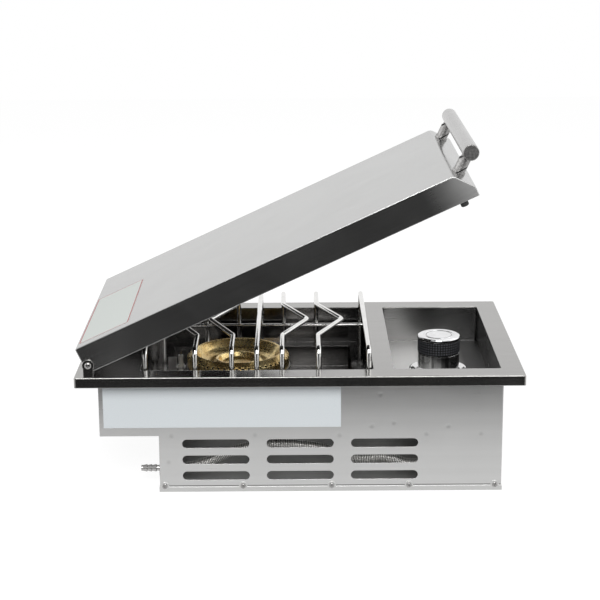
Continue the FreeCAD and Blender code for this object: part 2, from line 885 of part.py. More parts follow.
def knob_body():
    rim_z = knob_bottom
    web_z = grip_bottom - 4.0
    inner = skirt_r - skirt_wall
    profile = [
        (inner, rim_z), (skirt_r - 0.6, rim_z), (skirt_r, rim_z + 0.6),
        (skirt_r, grip_bottom - 1.6), (skirt_r - 1.0, grip_bottom - 1.2),
        (skirt_r - 1.0, grip_bottom), (core_r, grip_bottom), (core_r, grip_top), (0, grip_top),
        (0, stem_top), (stem_r + fit, stem_top), (stem_r + fit, rim_z + 2), (hub_r, rim_z + 2),
        (hub_r, web_z), (inner, web_z),
    ]
    return turned(profile, 0, valve_y)


def knob_grip():
    # sleeve cut by upright grooves and turned rings
    outer = []
    for i in range(knurl_count):
        for share, radius in ((0.0, knob_r), (0.5, knob_r - knurl_depth)):
            angle = 2 * math.pi * (i + share) / knurl_count
            outer.append(V(radius * math.cos(angle), radius * math.sin(angle), grip_bottom))
    sleeve = closed_path(outer).extrude(V(0, 0, grip_height))
    row = grip_height / knurl_rows
    cutters = [rod(V(0, 0, grip_bottom - 1), V(0, 0, grip_top + 1), core_r + fit)]
    for i in range(1, knurl_rows):
        z = grip_bottom + i * row
        ring = rod(V(0, 0, z - 0.5), V(0, 0, z + 0.5), knob_r + 1)
        core = rod(V(0, 0, z - 1), V(0, 0, z + 1), knob_r - knurl_depth)
        cutters.append(ring.cut(core))
    sleeve = pierced(sleeve, cutters)
    sleeve.translate(V(0, valve_y, 0))
    return sleeve


def knob_cap():
    # shallow rings are turned into the top, the middle is left plain
    edge = 1.6
    top = knob_top
    profile = [
        (0, grip_top), (knob_r - 0.4, grip_top), (knob_r, grip_top + 0.6),
        (knob_r, top - edge), (knob_r - 0.5, top - 0.5), (knob_r - edge, top),
        (19.6, top), (19.2, top - 0.5), (17.8, top - 0.5), (17.4, top), (0, top),
    ]
    return turned(profile, 0, valve_y)


def valve_stem():
    # flatted shaft with a collar that rests on the spring washer
    shaft = rod(V(0, valve_y, stem_bottom), V(0, valve_y, stem_top), stem_r)
    flat = block(stem_r - 1, stem_r + 1, valve_y - stem_r, valve_y + stem_r,
                 knob_bottom + 4, stem_top + 1)
    collar = rod(V(0, valve_y, valve_top - 4), V(0, valve_y, valve_top - 2), bonnet_bore_r - 0.4)
    return joined(shaft.cut(flat), [collar])


def spring_washer():
    top = valve_top - 4
    return tube(V(0, valve_y, top - washer_height), V(0, valve_y, top),
                bonnet_bore_r - fit, stem_r + fit)


def knob_bezel():
    z = recess_floor
    profile = [
        (bezel_bore_r, z), (bezel_r - 1.4, z), (bezel_r, z + 1.4), (bezel_r, z + bezel_height - 1.8),
        (bezel_r - 0.6, z + bezel_height - 0.6), (bezel_r - 2.0, z + bezel_height),
        (bezel_r - 4.0, z + bezel_height - 0.6), (bezel_bore_r, z + 1.6),
    ]
    return turned(profile, 0, valve_y)


# cooking grate


def grate_rod(y, reach):
    # legs stand on the well's ledge; inner rods swing out in a chevron over the burner
    points = [V(-leg_x, y, ledge_height), V(-leg_x, y, grate_z)]
    radii = [leg_bend]
    if reach:
        points += [V(-knee_x, y, grate_z), V(0, y + reach, grate_z), V(knee_x, y, grate_z)]
        radii += [rod_bend] * 3
    points += [V(leg_x, y, grate_z), V(leg_x, y, ledge_height)]
    radii.append(leg_bend)
    return bent_rod(points, radii, rod_r, V(0, 1, 0))


def grate_places():
    # middle line of each rod and how far it swings out, from the front to the rear
    places = [(grate_middle_y - rod_outer, 0)]
    places += [(grate_middle_y - offset, -chevron_reach) for offset in reversed(rod_offsets)]
    places += [(grate_middle_y, 0)]
    places += [(grate_middle_y + offset, chevron_reach) for offset in rod_offsets]
    places += [(grate_middle_y + rod_outer, 0)]
    return places


def grate_rail(side):
    # lengthwise rail, notched where it is welded to the legs
    rail_x = side * (leg_x - rod_r - rail_r + weld_sink)
    half = rod_outer + rod_r
    rail = rod(V(rail_x, grate_middle_y - half, rail_z), V(rail_x, grate_middle_y + half, rail_z),
               rail_r)
    legs = [rod(V(side * leg_x, y, ledge_height), V(side * leg_x, y, grate_z), rod_r)
            for y, reach in grate_places()]
    return pierced(rail, legs)


# lid, handle and hinges


def opened(shape):
    turned_shape = shape.copy()
    turned_shape.rotate(V(0, hinge_y, hinge_z), V(1, 0, 0), -lid_angle)
    return turned_shape


def lid_outline(inset, below):
    # side view from the rear wall over the bevelled nose to the open underside
    turn = math.atan2(lid_bevel_drop, lid_bevel_run)
    top = lid_top - inset
    bottom = lid_top - lid_depth - below
    rear = lid_rear - inset
    front = lid_front + inset
    bend = lid_front + lid_bevel_run + inset * math.tan(turn / 2)
    nose = lid_top - lid_bevel_drop - inset * math.tan((math.pi / 2 - turn) / 2)
    points = [V(0, rear, bottom), V(0, rear, top), V(0, bend, top), V(0, front, nose),
              V(0, front, bottom)]
    radii = [lid_rear_bend - inset, lid_top_bend - inset, lid_nose_bend - inset]
    route = rounded_route(points, radii)
    closing = Part.LineSegment(points[-1], points[0]).toShape()
    return Part.Face(Part.Wire(route.OrderedEdges + [closing]))


def lid_shell():
    t = lid_sheet
    outer = lid_outline(0, 0).extrude(V(2 * lid_half_width, 0, 0))
    outer.translate(V(-lid_half_width, 0, 0))
    long_edges = [e for e in outer.Edges
                  if abs(e.CenterOfMass.z - lid_top) < 0.01 and e.Length > lid_length / 2
                  and abs(abs(e.CenterOfMass.x) - lid_half_width) < 0.01]
    outer = outer.makeFillet(t, long_edges)
    inner = lid_outline(t, 5).extrude(V(2 * (lid_half_width - t), 0, 0))
    inner.translate(V(-lid_half_width + t, 0, 0))
    bottom = lid_top - lid_depth
    start = lid_rear - lid_flange_start
    flanges = []
    for side in (-1, 1):
        x_wall = side * (lid_half_width - t / 2)
        x_lip = side * (lid_half_width - t - lid_flange)
        flanges.append(block(min(x_wall, x_lip), max(x_wall, x_lip), lid_front + t / 2, start,
                             bottom, bottom + t))
    flanges.append(block(-lid_half_width + t / 2, lid_half_width - t / 2, lid_front + t / 2,
                         lid_front + t + lid_flange, bottom, bottom + t))
    solid = joined(outer.cut(inner), flanges)
    holes = [
        rod(V(-lid_half_width - 1, hinge_y, hinge_z), V(-lid_half_width + t + 1, hinge_y, hinge_z),
            pivot_r + fit),
        rod(V(lid_half_width - t - 1, hinge_y, hinge_z), V(lid_half_width + 1, hinge_y, hinge_z),
            pivot_r + fit),
    ]
    foot, axis = post_line()
    for x in (-post_x, post_x):
        at = foot + V(x, 0, 0)
        holes.append(rod(at - axis * 6, at + axis * 3, post_screw_r + fit))
        bumper = V(x / post_x * (lid_half_width - bumper_inset), lid_front + bumper_from_front,
                   bottom)
        holes.append(rod(bumper - V(0, 0, 1), bumper + V(0, 0, t + 1), 2.0 + fit))
    return opened(pierced(solid, holes))


def handle_axis():
    return V(0, lid_front - handle_ahead, lid_top + handle_above)


def post_line():
    # the posts stand square on the bevel, below the tube
    bevel = V(0, -lid_bevel_run, -lid_bevel_drop).normalize()
    axis = V(0, bevel.z, -bevel.y)
    corner = V(0, lid_front + lid_bevel_run, lid_top)
    to_tube = handle_axis() - corner
    foot = corner + bevel * to_tube.dot(bevel)
    return foot, axis


def handle_tube():
    centre = handle_axis()
    half = V(handle_half_length, 0, 0)
    return opened(tube(centre - half, centre + half, handle_tube_r,
                       handle_tube_r - handle_tube_wall))


def handle_end_caps():
    # flat discs with a plug that fits the tube's bore
    centre = handle_axis()
    r = handle_tube_r
    plug = r - handle_tube_wall - fit
    profile = [(0, -8), (plug, -8), (plug, 0), (r, 0), (r, 0.8), (r - 0.7, 1.5), (0, 1.5)]
    caps = [turned_on(profile, centre + V(side * handle_half_length, 0, 0), V(side, 0, 0))
            for side in (-1, 1)]
    return opened(Part.makeCompound(caps))


def handle_post(x):
    foot, axis = post_line()
    centre = handle_axis() + V(x, 0, 0)
    start = foot + V(x, 0, 0)
    reach = (centre - start).Length
    shaft = rod(start, start + axis * (reach - handle_tube_r - neck_length), post_r)
    base = rod(start, start + axis * post_foot_height, post_foot_r)
    neck = rod(start, centre, neck_r)
    saddle = rod(centre - V(post_foot_r, 0, 0), centre + V(post_foot_r, 0, 0), handle_tube_r)
    solid = joined(shaft, [base, neck]).cut(saddle)
    solid = solid.Solids[0] if len(solid.Solids) == 1 else max(solid.Solids, key=lambda s: s.Volume)
    bore = rod(start - axis, start + axis * 10, post_screw_r + fit)
    return opened(solid.cut(bore))


def left_handle_post():
    return handle_post(-post_x)


def right_handle_post():
    return handle_post(post_x)


def handle_screws():
    foot, axis = post_line()
    screws = []
    for x in (-post_x, post_x):
        seat = foot + V(x, 0, 0) - axis * lid_sheet
        shank = rod(seat, seat + axis * (lid_sheet + post_screw_grip), post_screw_r)
        head = rod(seat - axis * post_screw_head, seat, post_screw_r * 1.9)
        screws.append(joined(shank, [head]))
    return opened(Part.makeCompound(screws))


def lid_bumpers():
    # rubber pads pushed through the lid's inner flange
    h = bumper_height
    r = bumper_r
    stud = 2.0
    profile = [(0, -h), (r - 1, -h), (r, 1 - h), (r, 0), (stud, 0), (stud, lid_sheet),
               (stud + 1, lid_sheet), (stud, lid_sheet + 1.5), (0, lid_sheet + 1.5)]
    bottom = lid_top - lid_depth
    bumpers = []
    for side in (-1, 1):
        at = V(side * (lid_half_width - bumper_inset), lid_front + bumper_from_front, bottom)
        bumpers.append(turned_on(profile, at, V(0, 0, 1)))
    return opened(Part.makeCompound(bumpers))


def bracket_inner():
    return lid_half_width + side_gap


def hinge_bracket(side):
    # welded to the deck beside the lid, with a round-topped ear for the pivot screw
    inner = bracket_inner()
    outer = inner + bracket_sheet
    half = bracket_width / 2
    ear = block(inner, outer, hinge_y - half, hinge_y + half, frame_top, hinge_z)
    crown = rod(V(inner, hinge_y, hinge_z), V(outer, hinge_y, hinge_z), half + 1)
    hole = rod(V(inner - 1, hinge_y, hinge_z), V(outer + 1, hinge_y, hinge_z), pivot_r + fit)
    bracket = joined(ear, [crown]).cut(hole)
    if side < 0:
        bracket = bracket.mirror(V(0, 0, 0), V(1, 0, 0))
    return bracket


def left_hinge_bracket():
    return hinge_bracket(-1)


def right_hinge_bracket():
    return hinge_bracket(1)


def pivot_screws():
    # shouldered through the bracket and the lid's side wall
    r = pivot_head_r
    h = pivot_head
    grip = side_gap + bracket_sheet + lid_sheet + side_gap + 4.5
    profile = [(0, -grip), (pivot_r, -grip), (pivot_r, 0), (r, 0), (r, h * 0.35),
               (r * 0.62, h * 0.9), (0, h)]
    seat = bracket_inner() + bracket_sheet
    return Part.makeCompound([
        turned_on(profile, V(side * seat, hinge_y, hinge_z), V(side, 0, 0)) for side in (-1, 1)])


def pivot_nuts():
    start = lid_half_width - lid_sheet - side_gap
    nuts = []
    for side in (-1, 1):
        near = V(side * start, hinge_y, hinge_z)
        nut = hexagon(near, near - V(side * 3.2, 0, 0), pivot_nut_across)
        hole = rod(near + V(side, 0, 0), near - V(side * 4, 0, 0), pivot_r + fit)
        nuts.append(nut.cut(hole))
    return Part.makeCompound(nuts)


# blank printed sheets


def side_label():
    return block(-body_half_width - label_sheet, -body_half_width, side_label_front,
                 side_label_rear, side_label_bottom, side_label_top)


def lid_label():
    rear = lid_rear - lid_label_from_rear
    sheet = block(lid_label_x0, lid_label_x1, rear - lid_label_depth, rear,
                  lid_top, lid_top + label_sheet)
    return opened(sheet)


pieces = {
    "top_frame": top_frame,
    "burner_well": burner_well,
    "control_recess": control_recess,
    "left_side_panel": lambda: side_panel(-1),
    "right_side_panel": lambda: side_panel(1),
    "front_panel": front_panel,
    "rear_upper_panel": rear_upper_panel,
    "rear_lower_panel": rear_lower_panel,
    "middle_floor": middle_floor,
    "divider_panel": divider_panel,
    "bottom_pan": bottom_pan,
    "pan_screws": pan_screws,
    "burner_head": burner_head,
    "burner_base": burner_base,
    "mixing_tube": mixing_tube,
    "burner_bracket": burner_bracket,
    "igniter_bracket": igniter_bracket,
    "igniter_ceramic": igniter_ceramic,
    "igniter_electrode": igniter_electrode,
    "gas_valve": gas_valve,
    "valve_screws": valve_screws,
    "gas_jet": gas_jet,
    "inlet_elbow": inlet_elbow,
    "flex_line": flex_line,
    "valve_flare_nut": valve_flare_nut,
    "inlet_flare_nut": inlet_flare_nut,
    "inlet_barb": inlet_barb,
    "valve_stem": valve_stem,
    "spring_washer": spring_washer,
    "knob_body": knob_body,
    "knob_grip": knob_grip,
    "knob_cap": knob_cap,
    "knob_bezel": knob_bezel,
    "grate_left_rail": lambda: grate_rail(-1),
    "grate_right_rail": lambda: grate_rail(1),
    "lid_shell": lid_shell,
    "handle_tube": handle_tube,
    "handle_end_caps": handle_end_caps,
    "left_handle_post": left_handle_post,
    "right_handle_post": right_handle_post,
    "handle_screws": handle_screws,
    "lid_bumpers": lid_bumpers,
    "left_hinge_bracket": left_hinge_bracket,
    "right_hinge_bracket": right_hinge_bracket,
    "pivot_screws": pivot_screws,
    "pivot_nuts": pivot_nuts,
    "side_label": side_label,
    "lid_label": lid_label,
}

for number, place in enumerate(grate_places(), 1):
    pieces["grate_rod_" + str(number)] = lambda place=place: grate_rod(*place)

os.makedirs("parts", exist_ok=True)
for name, build in pieces.items():
    shape = build()
    shape.exportStep("parts/" + name + ".step")
    print(name, len(shape.Solids), shape.isValid(), round(shape.Volume))
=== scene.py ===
# A built in side burner: a brushed steel drop in box with a hinged lid, a wire grate and one brass burner.
import math

import bmesh
import bpy
from mathutils import Matrix, Vector


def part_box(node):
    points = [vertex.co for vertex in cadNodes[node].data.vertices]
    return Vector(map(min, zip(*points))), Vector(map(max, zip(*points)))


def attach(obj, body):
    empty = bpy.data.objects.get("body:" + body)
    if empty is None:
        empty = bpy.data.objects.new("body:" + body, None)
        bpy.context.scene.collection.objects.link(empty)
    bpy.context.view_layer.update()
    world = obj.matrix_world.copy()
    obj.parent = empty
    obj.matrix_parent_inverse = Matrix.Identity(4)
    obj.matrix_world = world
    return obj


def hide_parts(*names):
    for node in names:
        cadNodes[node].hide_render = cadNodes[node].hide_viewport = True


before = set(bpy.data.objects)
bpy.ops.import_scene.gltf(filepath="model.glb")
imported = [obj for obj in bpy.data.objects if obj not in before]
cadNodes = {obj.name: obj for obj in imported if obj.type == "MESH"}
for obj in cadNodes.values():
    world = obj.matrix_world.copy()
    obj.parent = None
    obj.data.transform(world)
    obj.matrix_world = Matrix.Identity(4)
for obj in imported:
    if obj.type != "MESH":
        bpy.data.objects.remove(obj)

mm = 0.001
lidAngle = math.radians(24.8)
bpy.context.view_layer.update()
print("frame loaded:", len(cadNodes), "nodes")


# Camera, at the photograph's own height and distance

camera = {
    "place": (-2.0141, 0.0020, 0.7348), "sensor": 36, "lens": 99.34,
    "down": 75.027, "aim": -90.0768, "roll": -0.3336,
}


def newObject(name, data):
    made = bpy.data.objects.new(name, data)
    bpy.context.scene.collection.objects.link(made)
    return made


def addCamera(values):
    data = bpy.data.cameras.new("photoCamera")
    data.sensor_width = values["sensor"]
    data.lens = values["lens"]
    made = newObject("photoCamera", data)
    aim = Matrix.Rotation(math.radians(values["aim"]), 4, "Z")
    down = Matrix.Rotation(math.radians(values["down"]), 4, "X")
    roll = Matrix.Rotation(math.radians(values["roll"]), 4, "Z")
    made.matrix_world = Matrix.Translation(values["place"]) @ aim @ down @ roll
    bpy.context.scene.camera = made


addCamera(camera)
bpy.context.scene.view_settings.view_transform = "Standard"


# Small helpers for shader trees

def addNode(tree, kind, **values):
    made = tree.nodes.new(kind)
    for name, value in values.items():
        setattr(made, name, value)
    return made


def feed(tree, value, socket):
    # a socket takes either a plain value or another node's output
    if isinstance(value, (int, float, tuple)):
        socket.default_value = value
    else:
        tree.links.new(value, socket)


def feedAll(tree, made, values):
    # feeds a node's sockets, by their titles or their places, and gives its outputs
    for socket, value in values.items():
        feed(tree, value, made.inputs[socket])
    return made.outputs


def maths(tree, operation, first, second=0.0, third=0.0, clamp=False):
    made = addNode(tree, "ShaderNodeMath", operation=operation, use_clamp=clamp)
    return feedAll(tree, made, {0: first, 1: second, 2: third})[0]


def vectorMaths(tree, operation, values):
    return feedAll(tree, addNode(tree, "ShaderNodeVectorMath", operation=operation), values)


def spread(tree, value, low, high, fromLow=0.0, fromHigh=1.0):
    values = {"Value": value, "From Min": fromLow, "From Max": fromHigh, "To Min": low, "To Max": high}
    return feedAll(tree, addNode(tree, "ShaderNodeMapRange"), values)[0]


def stretched(tree, place, scale):
    return feedAll(tree, addNode(tree, "ShaderNodeMapping"), {"Scale": scale, "Vector": place})[0]


def noise(tree, place, scale, detail=2.0, roughness=0.5, distortion=0.0):
    values = {
        "Vector": place, "Scale": scale, "Detail": detail, "Roughness": roughness, "Distortion": distortion,
    }
    return feedAll(tree, addNode(tree, "ShaderNodeTexNoise"), values)["Fac"]


def mixColour(tree, factor, first, second, blend="MIX"):
    made = addNode(tree, "ShaderNodeMix", data_type="RGBA", blend_type=blend)
    return feedAll(tree, made, {0: factor, 6: first, 7: second})[2]


def timesColour(tree, colour, value):
    return mixColour(tree, 1.0, colour, value, "MULTIPLY")


def blendValues(tree, factor, first, second):
    made = addNode(tree, "ShaderNodeMix", data_type="FLOAT")
    return feedAll(tree, made, {0: factor, 2: first, 3: second})[0]


def splitParts(tree, vector):
    return feedAll(tree, addNode(tree, "ShaderNodeSeparateXYZ"), {0: vector})


def reachFrom(tree, place, middle, axes):
    # how far a place is from the middle, along the given axes only
    spot = tuple(part * kept for part, kept in zip(middle, axes))
    return vectorMaths(tree, "DISTANCE", {0: stretched(tree, place, axes), 1: spot})["Value"]


def darkLine(tree, value, at, line):
    # a line darker than what is round it, where the value comes near one number
    off = maths(tree, "ABSOLUTE", maths(tree, "SUBTRACT", value, at))
    return spread(tree, off, line["shade"], 1.0, line["solid"] * line["half"], line["half"])


def addBump(tree, height, look, normal=None):
    values = {"Strength": look["depth"], "Distance": look["relief"], "Height": height}
    if normal is not None:
        values["Normal"] = normal
    return feedAll(tree, addNode(tree, "ShaderNodeBump"), values)[0]


def opaque(colour, share=1.0):
    # a colour made darker or lighter, with its alpha
    return tuple(min(1.0, share * part) for part in colour) + (1.0,)


def newGroup(name, takes, gives):
    group = bpy.data.node_groups.new(name, "ShaderNodeTree")
    for way, sockets in (("INPUT", takes), ("OUTPUT", gives)):
        for title, kind in sockets.items():
            group.interface.new_socket(name=title, in_out=way, socket_type=kind)
    return group, addNode(group, "NodeGroupInput").outputs, addNode(group, "NodeGroupOutput").inputs


def placeGroup(tree, group, **values):
    return feedAll(tree, addNode(tree, "ShaderNodeGroup", node_tree=group), values)


# Effects that several finishes share

vectorSocket = "NodeSocketVector"
valueSocket = "NodeSocketFloat"
# the fine and the broad noise are each a scale, a detail and a roughness
grainShape = {
    "lays": ((1.0, 0.012, 1.0), (0.012, 1.0, 1.0)), "ends": 0.7,
    "fine": (1.0, 3.0, 0.6), "broad": (0.12, 2.0, 0.5),
}


def makeBrushedGrain(shape):
    # long fine scratches along the part's length, and across it on the faces that look along the length
    group, takes, gives = newGroup(
        "brushedGrain", {"Place": vectorSocket, "Facing": vectorSocket, "Fineness": valueSocket},
        {"Scratches": valueSocket, "Streaks": valueSocket},
    )
    facing = splitParts(group, takes["Facing"])
    across = maths(group, "GREATER_THAN", maths(group, "ABSOLUTE", facing["Y"]), shape["ends"])
    grains = []
    for lay in shape["lays"]:
        laid = stretched(group, takes["Place"], lay)
        scaled = vectorMaths(group, "SCALE", {0: laid, "Scale": takes["Fineness"]})[0]
        grains.append([noise(group, scaled, *shape[kind]) for kind in ("fine", "broad")])
    for place, title in enumerate(("Scratches", "Streaks")):
        feed(group, blendValues(group, across, grains[0][place], grains[1][place]), gives[title])
    return group


smudgeShape = {"detail": 4.0, "roughness": 0.5, "distortion": 0.6, "span": (0.35, 0.7)}


def makeHandling(shape):
    # faint cloudy smudges that only change the gloss
    group, takes, gives = newGroup(
        "handling", {"Place": vectorSocket, "Size": valueSocket}, {"Smudge": valueSocket},
    )
    cloudy = [shape[kind] for kind in ("detail", "roughness", "distortion")]
    clouds = noise(group, takes["Place"], takes["Size"], *cloudy)
    feed(group, spread(group, clouds, 0.0, 1.0, *shape["span"]), gives["Smudge"])
    return group


edgeShape = {"samples": 6, "span": (0.995, 0.8)}


def makeSoftEdge(shape):
    # a rounded look for sheet and bar edges, and how near the surface is to one
    group, takes, gives = newGroup(
        "softEdge", {"Radius": valueSocket}, {"Rounded": vectorSocket, "Edge": valueSocket},
    )
    bevel = addNode(group, "ShaderNodeBevel", samples=shape["samples"])
    rounded = feedAll(group, bevel, {"Radius": takes["Radius"]})[0]
    facing = addNode(group, "ShaderNodeNewGeometry").outputs["Normal"]
    turn = vectorMaths(group, "DOT_PRODUCT", {0: rounded, 1: facing})["Value"]
    feed(group, spread(group, turn, 0.0, 1.0, *shape["span"]), gives["Edge"])
    feed(group, rounded, gives["Rounded"])
    return group


# the pits and the patches are each a detail and a roughness
castShape = {"pits": (5.0, 0.65), "patches": (3.0, 0.5), "patchSize": 0.12}


def makeCastSkin(shape):
    # the pitted skin of a sand casting
    group, takes, gives = newGroup(
        "castSkin", {"Place": vectorSocket, "Size": valueSocket},
        {"Pits": valueSocket, "Patches": valueSocket},
    )
    broad = maths(group, "MULTIPLY", takes["Size"], shape["patchSize"])
    feed(group, noise(group, takes["Place"], takes["Size"], *shape["pits"]), gives["Pits"])
    feed(group, noise(group, takes["Place"], broad, *shape["patches"]), gives["Patches"])
    return group


brushedGrain = makeBrushedGrain(grainShape)
handling = makeHandling(smudgeShape)
softEdge = makeSoftEdge(edgeShape)
castSkin = makeCastSkin(castShape)
print("shared effects made")


def newMaterial(name, values):
    made = bpy.data.materials.new(name)
    made.use_nodes = True
    shader = made.node_tree.nodes["Principled BSDF"]
    feedAll(made.node_tree, shader, values)
    return made, made.node_tree, shader


def tonedColour(tree, tone, look):
    # the look's own colour, from its darker share up to its lighter one
    dark, light = [opaque(look["colour"], look[share]) for share in ("dark", "light")]
    return mixColour(tree, tone, dark, light)


def setShader(tree, shader, colour, roughness, normal):
    feedAll(tree, shader, {"Base Color": colour, "Roughness": roughness, "Normal": normal})


def partPlace(tree, turn=0.0):
    # the place on the part and the way the surface looks, both turned back about X for a sloping part
    place = addNode(tree, "ShaderNodeTexCoord")
    if not turn:
        return place.outputs["Object"], place.outputs["Normal"]
    turned = []
    for source in ("Object", "Normal"):
        rotated = addNode(tree, "ShaderNodeVectorRotate", rotation_type="X_AXIS")
        turned.append(feedAll(tree, rotated, {"Angle": turn, "Vector": place.outputs[source]})[0])
    return turned


def smudgesOn(tree, place, look):
    return placeGroup(tree, handling, Place=place, Size=look["smudge"])["Smudge"]


# Brushed steels

# what every brushed steel has, where its own look says nothing else
steelWear = {
    "dark": 0.82, "light": 1.18, "tone": 0.5, "streaks": 0.12, "scratched": 0.1, "wear": 0.25,
    "dulled": 0.10, "smudge": 14.0, "smudged": 0.04, "fineness": 900.0, "turn": 0.0, "depth": 0.10,
    "relief": 0.2 * mm,
}


def brushedSteel(name, ownLook, shade=None, rougher=None):
    look = {**steelWear, **ownLook}
    made, tree, shader = newMaterial(name, {"Metallic": 1.0})
    place, facing = partPlace(tree, look["turn"])
    grain = placeGroup(tree, brushedGrain, Place=place, Facing=facing, Fineness=look["fineness"])
    smudge = smudgesOn(tree, place, look)
    edge = placeGroup(tree, softEdge, Radius=look["edge"])
    tone = maths(tree, "MULTIPLY_ADD", grain["Streaks"], look["streaks"], -look["streaks"] / 2)
    tone = maths(tree, "MULTIPLY_ADD", grain["Scratches"], look["scratched"], tone)
    worn = maths(tree, "MULTIPLY", edge["Edge"], look["wear"])
    worn = maths(tree, "ADD", maths(tree, "ADD", look["tone"], tone), worn, clamp=True)
    colour = tonedColour(tree, worn, look)
    if shade:
        colour = timesColour(tree, colour, shade(tree, place, facing))
    smooth = look["roughness"] - look["dulled"] / 2
    rough = maths(tree, "MULTIPLY_ADD", grain["Scratches"], look["dulled"], smooth)
    rough = maths(tree, "MULTIPLY_ADD", smudge, look["smudged"], rough, clamp=True)
    if rougher:
        rough = maths(tree, "ADD", rough, rougher(tree, place, facing), clamp=True)
    normal = addBump(tree, grain["Scratches"], look, edge["Rounded"])
    setShader(tree, shader, colour, rough, normal)
    return made


frameSteelLook = {
    "colour": (0.36, 0.355, 0.345), "roughness": 0.13, "edge": 1.0 * mm, "wear": 0.6, "streaks": 0.35,
}
lidSteelLook = {
    "colour": (0.48, 0.48, 0.475), "roughness": 0.20, "edge": 1.2 * mm, "turn": lidAngle, "streaks": 0.05,
}
bodySteelLook = {"colour": (0.56, 0.56, 0.555), "roughness": 0.29, "edge": 0.6 * mm, "streaks": 0.3}
wellSteelLook = {"colour": (0.28, 0.274, 0.268), "roughness": 0.11, "edge": 0.8 * mm, "depth": 0.05}
recessSteelLook = {
    "colour": (0.80, 0.795, 0.785), "roughness": 0.24, "edge": 0.8 * mm, "depth": 0.03, "streaks": 0.05,
}
panSteelLook = {"colour": (0.80, 0.80, 0.79), "roughness": 0.30, "edge": 0.6 * mm}
tubeSteelLook = {"colour": (0.52, 0.51, 0.50), "roughness": 0.34, "edge": 0.4 * mm}
handleSteelLook = {
    "colour": (0.42, 0.415, 0.41), "roughness": 0.20, "edge": 0.5 * mm, "fineness": 1100.0, "streaks": 1.1,
}
postSteelLook = {
    "colour": (0.33, 0.325, 0.32), "roughness": 0.44, "edge": 0.4 * mm, "fineness": 1100.0, "streaks": 0.2,
    "turn": lidAngle, "depth": 0.15,
}
capSteelLook = {
    "colour": (0.34, 0.335, 0.33), "roughness": 0.34, "edge": 0.6 * mm, "fineness": 1100.0, "streaks": 0.9,
    "depth": 0.3,
}
barbSteelLook = {"colour": (0.42, 0.415, 0.41), "roughness": 0.14, "edge": 0.3 * mm, "fineness": 2000.0}
fastenerSteelLook = {"colour": (0.34, 0.335, 0.33), "roughness": 0.20, "edge": 0.3 * mm, "fineness": 2600.0}


def boxOf(spots):
    return [Vector([pick(spot[axis] for spot in spots) for axis in range(3)]) for pick in (min, max)]


def lidBox(node):
    # a node's box in the lid's own level frame
    turn = Matrix.Rotation(lidAngle, 3, "X")
    return boxOf([turn @ vertex.co for vertex in cadNodes[node].data.vertices])


lidNose = lidBox("lid_shell")[0].y
lidShade = {"under": 0.12, "underSpan": (-0.4, -0.2), "nose": 0.30, "noseReach": 60 * mm, "side": 0.7}


def paintedShadeUnderLid(tree, place, facing):
    # painted shade: the hollow underside of the lid is darker than its outside
    return spread(tree, splitParts(tree, facing)["Z"], lidShade["under"], 1.0, *lidShade["underSpan"])


def atNose(tree, place, facing):
    # the folded side sheets are duller where they close round the nose
    along = splitParts(tree, place)["Y"]
    near = spread(tree, along, lidShade["nose"], 0.0, lidNose, lidNose + lidShade["noseReach"])
    side = maths(tree, "ABSOLUTE", splitParts(tree, facing)["X"])
    return maths(tree, "MULTIPLY", near, maths(tree, "GREATER_THAN", side, lidShade["side"]))


mottle = {"noise": (420.0, 3.0, 0.6), "tones": (0.72, 1.28), "span": (0.36, 0.64)}


def mottled(tree, place, facing):
    # the cloudy marks of hand polishing
    return spread(tree, noise(tree, place, *mottle["noise"]), *mottle["tones"], *mottle["span"])


postFoot, postTop = [corner.z for corner in lidBox("left_handle_post")]
postJoints = {"places": (0.33, 0.90), "half": 1.1 * mm, "solid": 0.5, "shade": 0.10}


def onPost(tree, place, facing):
    # mottled, with the dark joints of the foot collar and of the tube's seat
    marks = mottled(tree, place, facing)
    height = splitParts(tree, place)["Z"]
    for share in postJoints["places"]:
        joint = darkLine(tree, height, postFoot + share * (postTop - postFoot), postJoints)
        marks = maths(tree, "MULTIPLY", marks, joint)
    return marks


wellShade = {"paintedDarkening": (0.30, 1.0), "span": (-0.07, -0.01), "paintedBrightWall": (1.0, 3.0), "turned": (0.5, 0.8)}


def paintedWellLightAndShade(tree, place, facing):
    # painted shade: the well is darker, most of all towards the recess; painted light: its left wall, which
    # looks along +X, is up to three times brighter
    paintedDarkening = spread(tree, splitParts(tree, place)["Y"], *wellShade["paintedDarkening"], *wellShade["span"])
    left = spread(tree, splitParts(tree, facing)["X"], *wellShade["paintedBrightWall"], *wellShade["turned"])
    return maths(tree, "MULTIPLY", paintedDarkening, left)


flatSpan = (0.4, 0.6)


def isFlat(tree, facing):
    # one on faces that look up, nothing on upright ones
    return spread(tree, splitParts(tree, facing)["Z"], 0.0, 1.0, *flatSpan)


def wornFloor(amount):
    # a floor rougher than the walls round it
    return lambda tree, place, facing: maths(tree, "MULTIPLY", isFlat(tree, facing), amount)


recessShade = {
    "walls": (0.22, 0.17), "wallSpan": (0.105, 0.140), "floor": (0.10, 1.0), "floorSpan": (-0.215, -0.150),
    "worn": 0.22,
}


def paintedRecessShade(tree, place, facing):
    # painted shade: the walls are dark, darkest at the top, and the floor is painted lighter towards the
    # burner
    spot = splitParts(tree, place)
    walls = spread(tree, spot["Z"], *recessShade["walls"], *recessShade["wallSpan"])
    floor = spread(tree, spot["Y"], *recessShade["floor"], *recessShade["floorSpan"])
    return blendValues(tree, isFlat(tree, facing), walls, floor)


panShade = {"outside": 0.70, "inside": (1.0, 0.30), "span": (-0.10, 0.08), "dust": 0.30}


def paintedPanShade(tree, place, facing):
    # painted shade: inside the pan the floor darkens to the right; its outer faces stay bright
    inner = spread(tree, splitParts(tree, place)["X"], *panShade["inside"], *panShade["span"])
    return blendValues(tree, isFlat(tree, facing), panShade["outside"], inner)


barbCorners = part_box("inlet_barb")
barbFlangeShade = {"middle": (barbCorners[0] + barbCorners[1]) / 2, "reach": 6.0 * mm, "shade": 0.25}


